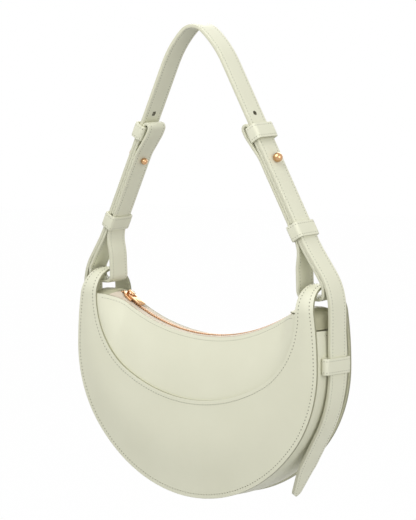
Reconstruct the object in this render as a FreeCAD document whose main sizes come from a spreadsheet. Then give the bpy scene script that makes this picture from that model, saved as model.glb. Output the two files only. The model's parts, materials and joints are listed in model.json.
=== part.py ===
import FreeCAD, Part
import Sketcher
import math
import os

# Half moon shoulder bag hung by its strap, in millimetres and degrees.
# Every piece is drawn about the horn axis, the line through the two horn arches that the strap
# carries the bag by. The strap then tips a little to the front about that axis, and all is set down
# so that the underside of the strap's crown is the origin.
# X runs to the viewer's right, Y to the back and Z up. Depths and levels count from the horn axis.

doc = FreeCAD.newDocument("half_moon_bag")
sheet = doc.addObject("Spreadsheet::Sheet", "dims")

driving_dimensions = {
    # outline and thickness of the body
    "body_half_width": 136,
    "body_depth": 164,
    "body_thickness": 45,
    "widest_depth": 45,
    "flank_radius": 285,
    "horn_width": 22.5,
    "seam_depth": 81,
    "seam_round_share": 0.864,
    "panel_wall": 2.2,
    "sewn_gap": 0.1,
    "overrun": 6,
    # gusset between the two crescents, and what lines it
    "gusset_wall": 2.2,
    "gusset_top_depth": 13.5,
    "lining_wall": 0.8,
    "stiffener_wall": 1.2,
    "pocket_width": 110,
    "pocket_drop": 12,
    "pocket_rise": 25,
    "pocket_wall": 1.2,
    "pocket_corner": 14,
    # yokes that lean in to the zip
    "yoke_gap": 18,
    "yoke_wall": 1.8,
    "yoke_underlap": 6,
    "yoke_lip": 0.3,
    # zip chain, bent to one arc
    "zip_radius": 190,
    "zip_depth": 28.3,
    "zip_end_gap": 10.5,
    "tape_wall": 0.8,
    "tape_edge": 2.2,
    "tooth_pitch": 2.4,
    "tooth_wall": 1,
    "tooth_rise": 2.4,
    "tooth_reach": 1.3,
    "stop_length": 2,
    "stop_split": 0.6,
    # zip slider and its pull
    "slider_end_gap": 8.6,
    "slider_length": 13,
    "slider_width": 9.6,
    "slider_wall": 1.2,
    "slider_clearance": 0.45,
    "flange_wall": 1,
    "diamond_length": 3.4,
    "diamond_width": 2,
    "bridge_length": 8,
    "bridge_room": 2.6,
    "bridge_wall": 1.2,
    "bridge_width": 2.4,
    "pull_length": 17,
    "pull_width": 8,
    "pull_wall": 1.6,
    "pull_window_length": 6,
    "pull_window_width": 4.4,
    "pull_corner": 2.4,
    # shoulder strap
    "strap_width": 20,
    "strap_wall": 3,
    "strap_rise": 230.5,
    "strap_tip_angle": 3,
    "crown_radius": 18.3,
    "crown_slope_angle": 40,
    "crown_run": 25.3,
    "shoulder_radius": 90,
    "knee_radius": 100,
    "flare_run": 40,
    "flare_angle": 36,
    "hip_level": 20,
    "hip_radius": 45,
    "hole_pitch": 42.5,
    # free tails of the strap, held on the gusset
    "hinge_gap": 0.4,
    "tail_bend_share": 0.457,
    "tail_bend_radius": 94,
    "tail_lean_angle": 30,
    "tail_hook_share": 0.805,
    "tail_hook_radius": 60,
    "tail_tip_angle": 26,
    "tail_end_share": 0.933,
    "left_tail_angle": 54,
    "left_tail_tip_run": 14,
    "tip_taper": 28,
    "tip_radius": 5,
    # link straps that join the shoulder strap to the horns
    "link_wall": 2.4,
    "layer_gap": 0.2,
    "horn_clearance": 0.5,
    "swing_angle": 38,
    "hip_room": 3.7,
    "saddle_clearance": 2.2,
    "saddle_radius": 4.2,
    "link_bend_run": 12,
    "link_bend_radius": 12,
    "link_sweep_radius": 25,
    "link_straight_level": 36,
    "link_drop": 1.3,
    "fold_radius": 3.2,
    "fold_rise": 3.4,
    "fold_end": 9,
    # keepers and ball studs, by their distance up the strap from its hip
    "lower_keeper_station": 56,
    "stud_station": 119,
    "upper_keeper_station": 144.5,
    "keeper_height": 13,
    "keeper_wall": 1.8,
    "keeper_clearance": 0.35,
    "keeper_corner": 1.5,
    "gusset_keeper_depth": 41.5,
    "gusset_keeper_slack": 3.4,
    "gusset_keeper_shift": 1.5,
    "stud_ball_radius": 4,
    "stud_cap_radius": 3,
    "stud_post_radius": 1.5,
    "stud_bore_depth": 3.4,
    "stud_hole_clearance": 0.2,
    "stud_thread_clearance": 0.05,
}

for row, (name, value) in enumerate(driving_dimensions.items(), start=1):
    sheet.set(f"A{row}", name)
    sheet.set(f"B{row}", str(value))
    sheet.setAlias(f"B{row}", name)
doc.recompute()


def size(name):
    return float(sheet.get(name))


# Helpers for bodies, sketches and features

tiny = 1e-7
sub_parts = []
upright = FreeCAD.Rotation()
strap_turn = FreeCAD.Rotation(FreeCAD.Vector(1, 0, 0), size("strap_tip_angle"))
horn_axis = strap_turn.multVec(FreeCAD.Vector(0, 0, -size("strap_rise")))


def point(across, up):
    return FreeCAD.Vector(across, up, 0)


def placed_body(name, turn, place, own_turn):
    # set down at a place in the bag's upright frame or in the strap's tipped one
    body = doc.addObject("PartDesign::Body", name)
    body.Label = name
    body.Placement = FreeCAD.Placement(horn_axis, turn) * FreeCAD.Placement(place, own_turn)
    sub_parts.append(body)
    return body


def new_body(name, turn=upright, level_expression="0"):
    body = placed_body(name, turn, FreeCAD.Vector(), upright)
    body.setExpression("Placement.Base.y", "dims.strap_rise * sin(dims.strap_tip_angle)")
    body.setExpression("Placement.Base.z", f"{level_expression} - dims.strap_rise * cos(dims.strap_tip_angle)")
    return body


def origin_feature(body, role):
    for feature in body.Origin.OriginFeatures:
        if feature.Role == role:
            return feature
    raise ValueError(role)


def new_sketch(body, name, role, edges, lift=0, tilt=None):
    sketch = body.newObject("Sketcher::SketchObject", name)
    sketch.AttachmentSupport = [(origin_feature(body, role), "")]
    sketch.MapMode = "FlatFace"
    place = FreeCAD.Placement(FreeCAD.Vector(0, 0, lift), FreeCAD.Rotation())
    if tilt is not None:
        place = tilt
    sketch.AttachmentOffset = place
    if edges:
        sketch.addGeometry(edges, False)
    return sketch


def pad(body, name, sketch, length_expression, side_type="Symmetric"):
    feature = body.newObject("PartDesign::Pad", name)
    feature.Profile = sketch
    feature.SideType = side_type
    feature.setExpression("Length", length_expression)
    doc.recompute()
    return feature


def pocket(body, name, sketch, length_expression):
    before = body.Shape.Volume
    feature = body.newObject("PartDesign::Pocket", name)
    feature.Profile = sketch
    feature.SideType = "Symmetric"
    feature.setExpression("Length", length_expression)
    doc.recompute()
    if body.Shape.Volume > before - tiny:
        raise RuntimeError(f"{body.Label}: {name} cuts nothing")
    return feature


def polygon(corners):
    return [Part.LineSegment(a, b) for a, b in zip(corners, corners[1:] + corners[:1])]


def arc(centre, radius, start, end):
    circle = Part.Circle(centre, FreeCAD.Vector(0, 0, 1), radius)
    return Part.ArcOfCircle(circle, start, end)


def rectangle(sketch, width_expression, depth_expression):
    # a rectangle about the sketch's origin, with both sides bound to the sheet
    first = sketch.GeometryCount
    corner = size("keeper_height")
    corners = [point(-corner, -corner), point(corner, -corner), point(corner, corner), point(-corner, corner)]
    sketch.addGeometry(polygon(corners), False)
    for index in range(4):
        after = first + (index + 1) % 4
        sketch.addConstraint(Sketcher.Constraint("Coincident", first + index, 2, after, 1))
    for index, kind in enumerate(("Horizontal", "Vertical", "Horizontal", "Vertical")):
        sketch.addConstraint(Sketcher.Constraint(kind, first + index))
    sketch.addConstraint(Sketcher.Constraint("Symmetric", first, 1, first + 1, 2, -1, 1))
    for index, kind, expression in ((0, "DistanceX", width_expression), (1, "DistanceY", depth_expression)):
        number = sketch.addConstraint(Sketcher.Constraint(kind, first + index, 1, first + index, 2, 2 * corner))
        sketch.setExpression(f"Constraints[{number}]", expression)


# A route is a chain of straight runs joined by tangent arcs, and a ribbon is a band that follows it

def rounded_route(points, radii):
    bends = []
    for before, corner, after, radius in zip(points, points[1:], points[2:], radii):
        incoming = (corner - before).normalize()
        outgoing = (after - corner).normalize()
        turn = incoming.getAngle(outgoing)
        reach = radius * math.tan(turn / 2)
        hand = math.copysign(1, incoming.x * outgoing.y - incoming.y * outgoing.x)
        enter = point(-incoming.y, incoming.x)
        leave = point(-outgoing.y, outgoing.x)
        middle = (enter + leave).normalize()
        start = corner - incoming * reach
        centre = start + enter * (hand * radius)
        apex = centre - middle * (hand * radius)
        bends.append(((start, enter), (apex, middle), (corner + outgoing * reach, leave)))
    first = (points[1] - points[0]).normalize()
    last = (points[-1] - points[-2]).normalize()
    head = (points[0], point(-first.y, first.x))
    tail = (points[-1], point(-last.y, last.x))
    return head, bends, tail


def shifted(station, offset):
    place, normal = station
    return place + normal * offset


def route_edges(route, offset):
    head, bends, tail = route
    edges = []
    here = shifted(head, offset)
    for bend in bends:
        start, apex, end = (shifted(station, offset) for station in bend)
        if (start - here).Length > tiny:
            edges.append(Part.LineSegment(here, start))
        edges.append(Part.Arc(start, apex, end))
        here = end
    edges.append(Part.LineSegment(here, shifted(tail, offset)))
    return edges


def ribbon_edges(route, wall):
    head, bends, tail = route
    half = wall / 2
    caps = [Part.LineSegment(shifted(end, -half), shifted(end, half)) for end in (head, tail)]
    return route_edges(route, -half) + route_edges(route, half) + caps


# Outline of the half moon: a bottom arc, two side arcs tangent to it, and flanks that lean in above
# The side arcs have the radius that an ellipse of the same width and depth has at its sides

body_half_width = size("body_half_width")
body_depth = size("body_depth")
half_thickness = size("body_thickness") / 2
widest_depth = size("widest_depth")
side_radius = (body_depth - widest_depth) ** 2 / body_half_width
flank_radius = size("flank_radius")
horn_inner = body_half_width - size("horn_width")
seam_depth = size("seam_depth")
seam_side_radius = size("seam_round_share") * seam_depth
panel_wall = size("panel_wall")
sewn_gap = size("sewn_gap")
overrun = size("overrun")


def moon(half_width, depth, radius):
    # centre of the side arc across, centre of the bottom arc up, its radius, and where the two meet
    across = half_width - radius
    spare = depth - radius
    up = (across ** 2 - spare ** 2) / (2 * spare)
    return across, up, depth + up, math.atan2(abs(up), abs(across))


def body_edges(offset, top):
    # the body's outer outline moved in by an offset, from the left flank round to the right one
    across, up, bottom_radius, meet = moon(body_half_width, body_depth - widest_depth, side_radius)
    flank = body_half_width - flank_radius
    rise = math.asin((top + widest_depth) / (flank_radius - offset))
    left_flank = arc(point(-flank, -widest_depth), flank_radius - offset, math.pi - rise, math.pi)
    left_side = arc(point(-across, -widest_depth), side_radius - offset, math.pi, math.pi + meet)
    bottom = arc(point(0, up - widest_depth), bottom_radius - offset, math.pi + meet, 2 * math.pi - meet)
    right_side = arc(point(across, -widest_depth), side_radius - offset, -meet, 0)
    right_flank = arc(point(flank, -widest_depth), flank_radius - offset, 0, rise)
    return [left_flank, left_side, bottom, right_side, right_flank]


def flank_across(offset, level):
    reach = flank_radius - offset
    return body_half_width - flank_radius + math.sqrt(reach ** 2 - (level + widest_depth) ** 2)


def seam_level(across):
    side, up, bottom_radius, meet = moon(horn_inner, seam_depth, seam_side_radius)
    across = abs(across)
    if across < bottom_radius * math.cos(meet):
        return up - math.sqrt(bottom_radius ** 2 - across ** 2)
    return -math.sqrt(seam_side_radius ** 2 - (across - side) ** 2)


def crescent_edges(outer_offset, seam_offset, top):
    # closed crescent between the body's outline and the seam, cut level at the top of its horns
    side, up, bottom_radius, meet = moon(horn_inner, seam_depth, seam_side_radius)
    radius = seam_side_radius + seam_offset
    dip = math.asin(max(0, -top) / radius)
    seam = [
        arc(point(-side, 0), radius, math.pi + dip, math.pi + meet),
        arc(point(0, up), bottom_radius + seam_offset, math.pi + meet, 2 * math.pi - meet),
        arc(point(side, 0), radius, -meet, -dip),
    ]
    outer = flank_across(outer_offset, top)
    inner = side + radius * math.cos(dip)
    rims = [Part.LineSegment(point(hand * outer, top), point(hand * inner, top)) for hand in (-1, 1)]
    if top > 0:
        rims += [Part.LineSegment(point(hand * inner, top), point(hand * inner, 0)) for hand in (-1, 1)]
    return body_edges(outer_offset, top) + seam + rims


# Crescent panels: a wall, with the horns' arch in front, trimmed to the crescent outline

def trim_to_crescent(body):
    reach = body_half_width + 2 * overrun
    top = half_thickness + 2 * overrun
    bottom = -body_depth - 2 * overrun
    frame = polygon([point(-reach, bottom), point(reach, bottom), point(reach, top), point(-reach, top)])
    outline = crescent_edges(0, 0, half_thickness + overrun)
    trim = new_sketch(body, "crescent_outline", "XZ_Plane", frame + outline)
    pocket(body, "trim", trim, "2 * dims.body_thickness")


def front_crescent_panel():
    body = new_body("front_crescent_panel")
    inner = half_thickness - panel_wall
    low = -body_depth - overrun
    profile = [
        Part.LineSegment(point(-half_thickness, low), point(-half_thickness, 0)),
        arc(point(0, 0), half_thickness, 0, math.pi),
        Part.LineSegment(point(half_thickness, 0), point(inner, 0)),
        arc(point(0, 0), inner, 0, math.pi),
        Part.LineSegment(point(-inner, 0), point(-inner, low)),
        Part.LineSegment(point(-inner, low), point(-half_thickness, low)),
    ]
    sketch = new_sketch(body, "wall_and_arch", "YZ_Plane", profile)
    pad(body, "wall", sketch, "2 * (dims.body_half_width + dims.overrun)")
    trim_to_crescent(body)


def back_crescent_panel():
    body = new_body("back_crescent_panel")
    inner = half_thickness - panel_wall
    low = -body_depth - overrun
    corners = [point(inner, low), point(half_thickness, low)]
    corners += [point(half_thickness, -sewn_gap), point(inner, -sewn_gap)]
    sketch = new_sketch(body, "wall_section", "YZ_Plane", polygon(corners))
    pad(body, "wall", sketch, "2 * (dims.body_half_width + dims.overrun)")
    trim_to_crescent(body)


front_crescent_panel()
back_crescent_panel()


# Yokes: lofted from the zip's edge down to the seam, section by section across the bag

zip_radius = size("zip_radius")
zip_depth = size("zip_depth")
zip_half_span = horn_inner - size("zip_end_gap")
yoke_gap = size("yoke_gap")
yoke_wall = size("yoke_wall")
yoke_underlap = size("yoke_underlap")
yoke_lip = size("yoke_lip")
yoke_section_shares = (-0.985, -0.94, -0.86, -0.7, -0.45, -0.2, 0, 0.2, 0.45, 0.7, 0.86, 0.94, 0.985)


def zip_level(across):
    reach = min(abs(across), zip_half_span)
    return zip_radius - zip_depth - math.sqrt(zip_radius ** 2 - reach ** 2)


def yoke_panel(name, hand):
    body = new_body(name)
    top_out = yoke_gap / 2
    low_out = half_thickness - panel_wall - sewn_gap
    sections = []
    for number, share in enumerate(yoke_section_shares):
        across = share * horn_inner
        top = zip_level(across) - yoke_lip
        low = seam_level(across) - yoke_underlap
        corners = [point(hand * top_out, top), point(hand * (top_out - yoke_wall), top)]
        corners += [point(hand * (low_out - yoke_wall), low), point(hand * low_out, low)]
        sections.append(new_sketch(body, f"section_{number}", "YZ_Plane", polygon(corners), lift=across))
    loft = body.newObject("PartDesign::AdditiveLoft", "leaning_panel")
    loft.Profile = sections[0]
    loft.Sections = sections[1:]


yoke_panel("front_yoke_panel", -1)
yoke_panel("back_yoke_panel", 1)


# Gusset, its lining and the stiffener under the base: bands that follow the body's outline
# The gusset lies deep enough for its keepers' inner bands to fit between it and the strap's tails
# The tails hang outside the link straps, which stay clear of the horn arches while the bag swings

strap_width = size("strap_width")
strap_wall = size("strap_wall")
link_wall = size("link_wall")
layer_gap = size("layer_gap")
horn_clearance = size("horn_clearance")
keeper_wall = size("keeper_wall")
keeper_clearance = size("keeper_clearance")
edge_angle = math.asin(strap_width / 2 / half_thickness)
swing_level = half_thickness * math.cos(math.radians(size("swing_angle")) + edge_angle)
link_outside = flank_across(0, swing_level) + horn_clearance + link_wall / 2
tail_across = link_outside + link_wall / 2 + layer_gap + strap_wall / 2 + size("hip_room")
gusset_recess = body_half_width - (tail_across - strap_wall / 2 - keeper_clearance - keeper_wall) + sewn_gap
gusset_wall = size("gusset_wall")
gusset_top = -size("gusset_top_depth")
lining_wall = size("lining_wall")
stiffener_wall = size("stiffener_wall")
stiffener_offset = gusset_recess + gusset_wall + sewn_gap
lining_offset = stiffener_offset + stiffener_wall + sewn_gap


def band_edges(offset, wall, top):
    rims = []
    for hand in (-1, 1):
        outer = point(hand * flank_across(offset, top), top)
        inner = point(hand * flank_across(offset + wall, top), top)
        rims.append(Part.LineSegment(outer, inner))
    return body_edges(offset, top) + body_edges(offset + wall, top) + rims


def gusset():
    body = new_body("gusset")
    sketch = new_sketch(body, "band", "XZ_Plane", band_edges(gusset_recess, gusset_wall, gusset_top))
    pad(body, "width", sketch, "dims.body_thickness - 2 * (dims.panel_wall + dims.sewn_gap)")


def gusset_lining():
    body = new_body("gusset_lining")
    sketch = new_sketch(body, "band", "XZ_Plane", band_edges(lining_offset, lining_wall, gusset_top))
    room = "dims.body_thickness - 2 * (dims.panel_wall + dims.lining_wall + 2 * dims.sewn_gap)"
    pad(body, "width", sketch, room)


def base_stiffener():
    body = new_body("base_stiffener")
    across, up, bottom_radius, meet = moon(body_half_width, body_depth - widest_depth, side_radius)
    centre = point(0, up - widest_depth)
    outer = bottom_radius - stiffener_offset
    inner = outer - stiffener_wall
    ends = []
    for angle in (math.pi + meet, 2 * math.pi - meet):
        ray = point(math.cos(angle), math.sin(angle))
        ends.append(Part.LineSegment(centre + ray * outer, centre + ray * inner))
    arcs = [arc(centre, radius, math.pi + meet, 2 * math.pi - meet) for radius in (outer, inner)]
    sketch = new_sketch(body, "strip", "XZ_Plane", arcs + ends)
    pad(body, "width", sketch, "dims.body_thickness - 2 * (dims.panel_wall + dims.sewn_gap)")


def panel_lining(name, hand):
    # lies on the crescent panel's inner face, below the yoke's underlap
    body = new_body(name)
    edges = crescent_edges(lining_offset, yoke_underlap + sewn_gap, gusset_top)
    face = half_thickness - panel_wall - sewn_gap - lining_wall / 2
    sketch = new_sketch(body, "crescent", "XZ_Plane", edges, lift=-hand * face)
    pad(body, "cloth", sketch, "dims.lining_wall")


def slip_pocket():
    # a patch pocket on the back lining, open along its top edge
    body = new_body("slip_pocket")
    half = size("pocket_width") / 2
    top = -seam_depth - size("pocket_drop")
    low = -body_depth + size("pocket_rise")
    corner = size("pocket_corner")
    edges = [
        Part.LineSegment(point(-half, low + corner), point(-half, top)),
        Part.LineSegment(point(-half, top), point(half, top)),
        Part.LineSegment(point(half, top), point(half, low + corner)),
        arc(point(half - corner, low + corner), corner, -math.pi / 2, 0),
        Part.LineSegment(point(half - corner, low), point(corner - half, low)),
        arc(point(corner - half, low + corner), corner, math.pi, 1.5 * math.pi),
    ]
    face = half_thickness - panel_wall - lining_wall - 2 * sewn_gap - size("pocket_wall") / 2
    sketch = new_sketch(body, "patch", "XZ_Plane", edges, lift=-face)
    pad(body, "cloth", sketch, "dims.pocket_wall")


gusset()
gusset_lining()
base_stiffener()
panel_lining("front_lining", -1)
panel_lining("back_lining", 1)
slip_pocket()


# Zip: tapes and teeth bent to one arc, drawn about the arc's centre and turned into place

zip_centre_expression = "dims.zip_radius - dims.zip_depth"
tape_wall = size("tape_wall")
tape_edge = size("tape_edge")
tooth_pitch = size("tooth_pitch")
tooth_wall = size("tooth_wall")
tooth_rise = size("tooth_rise")
tooth_reach = size("tooth_reach")
stop_length = size("stop_length")
stop_split = size("stop_split")
slider_park = zip_half_span - size("slider_end_gap")
diamond_length = size("diamond_length")
slider_length = size("slider_length")
chain_end = zip_half_span - stop_length - tooth_pitch
park_turn = math.degrees(math.asin(slider_park / zip_radius))


def turned_body(name, turn):
    # positive turns carry the lowest point of the arc towards the bag's left end
    return new_body(name, FreeCAD.Rotation(FreeCAD.Vector(0, 1, 0), turn), zip_centre_expression)


def zip_tape(name, hand):
    body = new_body(name, level_expression=zip_centre_expression)
    reach = math.asin(zip_half_span / zip_radius)
    start = 1.5 * math.pi - reach
    end = 1.5 * math.pi + reach
    inner = zip_radius - tape_wall / 2
    outer = zip_radius + tape_wall / 2
    edges = [arc(point(0, 0), inner, start, end), arc(point(0, 0), outer, start, end)]
    for angle in (start, end):
        ray = point(math.cos(angle), math.sin(angle))
        edges.append(Part.LineSegment(ray * inner, ray * outer))
    far_edge = yoke_gap / 2 - yoke_wall - sewn_gap
    sketch = new_sketch(body, "tape", "XZ_Plane", edges, lift=-hand * (tape_edge + far_edge) / 2)
    pad(body, "width", sketch, "dims.yoke_gap / 2 - dims.yoke_wall - dims.sewn_gap - dims.tape_edge")


def block(body, name, length, rise, middle, width_expression):
    half = length / 2
    low = -zip_radius - rise / 2
    high = -zip_radius + rise / 2
    corners = [point(-half, low), point(half, low), point(half, high), point(-half, high)]
    sketch = new_sketch(body, name + "_face", "XZ_Plane", polygon(corners), lift=-middle)
    return pad(body, name, sketch, width_expression)


def zip_teeth(name, hand, stagger):
    step = math.degrees(tooth_pitch / zip_radius)
    start = -math.degrees(math.asin(chain_end / zip_radius)) + stagger * step
    end = park_turn + math.degrees((slider_length / 2 - diamond_length - tooth_pitch) / zip_radius)
    count = int((end - start) / step) + 1
    body = turned_body(name, start)
    tooth = block(body, "tooth", tooth_wall, tooth_rise, hand * (tape_edge - tooth_reach) / 2,
                  "dims.tape_edge + dims.tooth_reach")
    row_of_teeth = body.newObject("PartDesign::PolarPattern", "row_of_teeth")
    row_of_teeth.Originals = [tooth]
    row_of_teeth.Axis = (origin_feature(body, "Y_Axis"), [""])
    row_of_teeth.Angle = step * (count - 1)
    row_of_teeth.Occurrences = count
    body.Tip = row_of_teeth


def zip_top_stops():
    # one stop on each tape, past the parked slider
    turn = math.degrees(math.asin((zip_half_span - stop_length / 2) / zip_radius))
    body = turned_body("zip_top_stops", turn)
    for name, hand in (("front_stop", -1), ("back_stop", 1)):
        block(body, name, stop_length, tooth_rise, hand * (tape_edge + stop_split / 2) / 2,
              "dims.tape_edge - dims.stop_split / 2")


def zip_bottom_stop():
    turn = math.degrees(math.asin((zip_half_span - stop_length / 2) / zip_radius))
    body = turned_body("zip_bottom_stop", -turn)
    block(body, "stop", stop_length, tooth_rise, 0, "2 * dims.tape_edge")


zip_tape("zip_front_tape", -1)
zip_tape("zip_back_tape", 1)
zip_teeth("zip_front_teeth", -1, 0)
zip_teeth("zip_back_teeth", 1, 0.5)
zip_top_stops()
zip_bottom_stop()


# Slider: two plates joined by the diamond that parts the teeth, flanges beside the tapes, a bridge on top

slider_width = size("slider_width")
slider_wall = size("slider_wall")
slider_clearance = size("slider_clearance")
bridge_length = size("bridge_length")
bridge_room = size("bridge_room")
bridge_wall = size("bridge_wall")
plate_gap = tooth_rise / 2 + slider_clearance
slit_gap = tape_wall / 2 + slider_clearance
nose_share = 0.3
nose_width_share = 0.62


def zip_slider():
    body = turned_body("zip_slider", park_turn)
    half = slider_length / 2
    wide = slider_width / 2
    nose = half - nose_share * slider_length
    narrow = nose_width_share * wide
    outline = [point(half, -wide), point(half, wide), point(-nose, wide), point(-half, narrow)]
    outline += [point(-half, -narrow), point(-nose, -wide)]
    flange = wide - size("flange_wall")
    back = -half + diamond_length
    diamond = size("diamond_width") / 2
    diamond_outline = polygon([point(-half, 0), point((back - half) / 2, -diamond), point(back, 0),
                               point((back - half) / 2, diamond)])
    core = new_sketch(body, "diamond_plan", "XY_Plane", diamond_outline, lift=-zip_radius)
    pad(body, "diamond", core, "dims.tooth_rise + 2 * (dims.slider_clearance + dims.slider_wall)")
    for name, hand in (("lower", -1), ("upper", 1)):
        level = -zip_radius + hand * (plate_gap + slider_wall / 2)
        plate = new_sketch(body, name + "_plan", "XY_Plane", polygon(outline), lift=level)
        pad(body, name + "_plate", plate, "dims.slider_wall")
        level = -zip_radius + hand * (plate_gap + slit_gap) / 2
        strips = []
        for side in (-1, 1):
            strips += polygon([point(-nose, side * flange), point(half, side * flange),
                               point(half, side * wide), point(-nose, side * wide)])
        rails = new_sketch(body, name + "_rail_plan", "XY_Plane", strips, lift=level)
        pad(body, name + "_rails", rails, "(dims.tooth_rise - dims.tape_wall) / 2")
    top = -zip_radius + plate_gap + slider_wall
    reach = (bridge_length - bridge_wall) / 2
    high = top + bridge_room + bridge_wall / 2
    corners = [point(-reach, top), point(-reach, high), point(reach, high), point(reach, top)]
    route = rounded_route(corners, [bridge_room / 2, bridge_room / 2])
    arch = new_sketch(body, "bridge_arch", "XZ_Plane", ribbon_edges(route, bridge_wall))
    pad(body, "bridge", arch, "dims.bridge_width")


def zip_pull():
    # hangs by its bar under the slider's bridge and lies along the chain
    turn = FreeCAD.Rotation(FreeCAD.Vector(0, 1, 0), park_turn)
    pivot = FreeCAD.Vector(0, 0, -zip_radius + plate_gap + slider_wall + bridge_room / 2)
    centre = FreeCAD.Vector(0, 0, zip_radius - zip_depth)
    body = placed_body("zip_pull", upright, centre + turn.multVec(pivot), turn)
    length = size("pull_length")
    half = size("pull_width") / 2
    corner = size("pull_corner")
    bar = size("pull_wall") / 2
    window_half = size("pull_window_width") / 2
    window_end = size("pull_window_length")
    outline = [
        Part.LineSegment(point(0, -half), point(length - corner, -half)),
        arc(point(length - corner, corner - half), corner, -math.pi / 2, 0),
        Part.LineSegment(point(length, corner - half), point(length, half - corner)),
        arc(point(length - corner, half - corner), corner, 0, math.pi / 2),
        Part.LineSegment(point(length - corner, half), point(0, half)),
        Part.LineSegment(point(0, half), point(0, -half)),
    ]
    window = polygon([point(bar, -window_half), point(window_end, -window_half),
                      point(window_end, window_half), point(bar, window_half)])
    plan = new_sketch(body, "tab_plan", "XY_Plane", outline + window)
    pad(body, "tab", plan, "dims.pull_wall")
    ring = new_sketch(body, "bar_section", "XZ_Plane", [Part.Circle(point(0, 0), FreeCAD.Vector(0, 0, 1), bar)])
    pad(body, "bar", ring, "dims.pull_width")


zip_slider()
zip_pull()


# Shoulder strap: one band over the crown, down both sides, ending round on the horn axis

strap_rise = size("strap_rise")
crown_radius = size("crown_radius")
crown_slope = math.radians(size("crown_slope_angle"))
hip_level = size("hip_level")
stud_station = size("stud_station")
crown_top = strap_rise + strap_wall / 2
crown_corner = point(crown_radius * math.tan(crown_slope / 2), crown_top)
crown_fall = point(math.cos(crown_slope), -math.sin(crown_slope))
shoulder_corner = crown_corner + crown_fall * size("crown_run")
hip_corner = point(tail_across, hip_level)
flare_run = size("flare_run")
flare_angle = math.radians(size("flare_angle"))
flare_up = point(-math.sin(flare_angle), math.cos(flare_angle))
flare_in = point(-flare_up.y, flare_up.x)
knee_corner = hip_corner + flare_up * flare_run
strap_up = (shoulder_corner - knee_corner).normalize()
strap_in = point(-strap_up.y, strap_up.x)
strap_lean = math.degrees(math.atan2(-strap_up.x, strap_up.y))
knee_middle = (strap_in + flare_in).normalize()


def mirrored(place, side):
    return point(side * place.x, place.y)


def on_strap(station, layer):
    # a point so far up the strap from its hip and so far in from its centre line, on the right side
    if station < flare_run:
        return hip_corner + flare_up * station + flare_in * layer
    return knee_corner + strap_up * (station - flare_run) + strap_in * layer


def stud_tilt(side, station):
    # sketch frame on the strap's centre line, facing along the stud
    place = on_strap(station, 0)
    turn = FreeCAD.Rotation(FreeCAD.Vector(1, 0, 0), -side * strap_lean)
    return FreeCAD.Placement(FreeCAD.Vector(0, place.y, side * place.x), turn)


def stud_hole(body, name, side, station, length_expression):
    radius = size("stud_post_radius") + size("stud_hole_clearance")
    circle = Part.Circle(point(0, 0), FreeCAD.Vector(0, 0, 1), radius)
    sketch = new_sketch(body, name + "_circle", "YZ_Plane", [circle], tilt=stud_tilt(side, station))
    pocket(body, name, sketch, length_expression)


def shoulder_strap():
    body = new_body("shoulder_strap", strap_turn)
    right = [crown_corner, shoulder_corner, knee_corner, hip_corner, point(tail_across, -strap_width / 2)]
    left = [mirrored(place, -1) for place in reversed(right)]
    bends = [crown_radius, size("shoulder_radius"), size("knee_radius"), size("hip_radius")]
    route = rounded_route(left + right, bends[::-1] + bends)
    sketch = new_sketch(body, "strap_side", "XZ_Plane", ribbon_edges(route, strap_wall))
    pad(body, "strap", sketch, "dims.strap_width")
    half = strap_width / 2
    reach = half + overrun
    round_end = [
        arc(point(0, 0), half, math.pi, 2 * math.pi),
        Part.LineSegment(point(half, 0), point(reach, 0)),
        Part.LineSegment(point(reach, 0), point(reach, -reach)),
        Part.LineSegment(point(reach, -reach), point(-reach, -reach)),
        Part.LineSegment(point(-reach, -reach), point(-reach, 0)),
        Part.LineSegment(point(-reach, 0), point(-half, 0)),
    ]
    ends = new_sketch(body, "round_end", "YZ_Plane", round_end)
    pocket(body, "round_ends", ends, "2 * (dims.body_half_width + 2 * dims.overrun)")
    for name, side in (("left", -1), ("right", 1)):
        stud_hole(body, name + "_stud_hole", side, stud_station, "2 * dims.strap_wall")
        spare = stud_station + size("hole_pitch")
        stud_hole(body, name + "_spare_hole", side, spare, "2 * dims.strap_wall")


def right_tail_line():
    # hangs clear of the gusset below its keeper and hooks back in at the tip
    lean = math.tan(math.radians(size("tail_lean_angle")))
    tip_lean = math.tan(math.radians(size("tail_tip_angle")))
    bend = -size("tail_bend_share") * body_depth
    hook = -size("tail_hook_share") * body_depth
    end = -size("tail_end_share") * body_depth
    hook_across = tail_across - lean * (bend - hook)
    tip = point(hook_across - tip_lean * (hook - end), end)
    radii = [size("tail_bend_radius"), size("tail_hook_radius")]
    return [point(tail_across, bend), point(hook_across, hook), tip], radii


def left_tail_line():
    # lies along the gusset and follows its side arc
    lean = math.radians(size("left_tail_angle"))
    radius = side_radius + tail_across - body_half_width
    reach = radius * math.tan(lean / 2)
    bend = point(tail_across, -widest_depth - reach)
    fall = point(-math.sin(lean), -math.cos(lean))
    return [bend, bend + fall * (reach + size("left_tail_tip_run"))], [radius]


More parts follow.
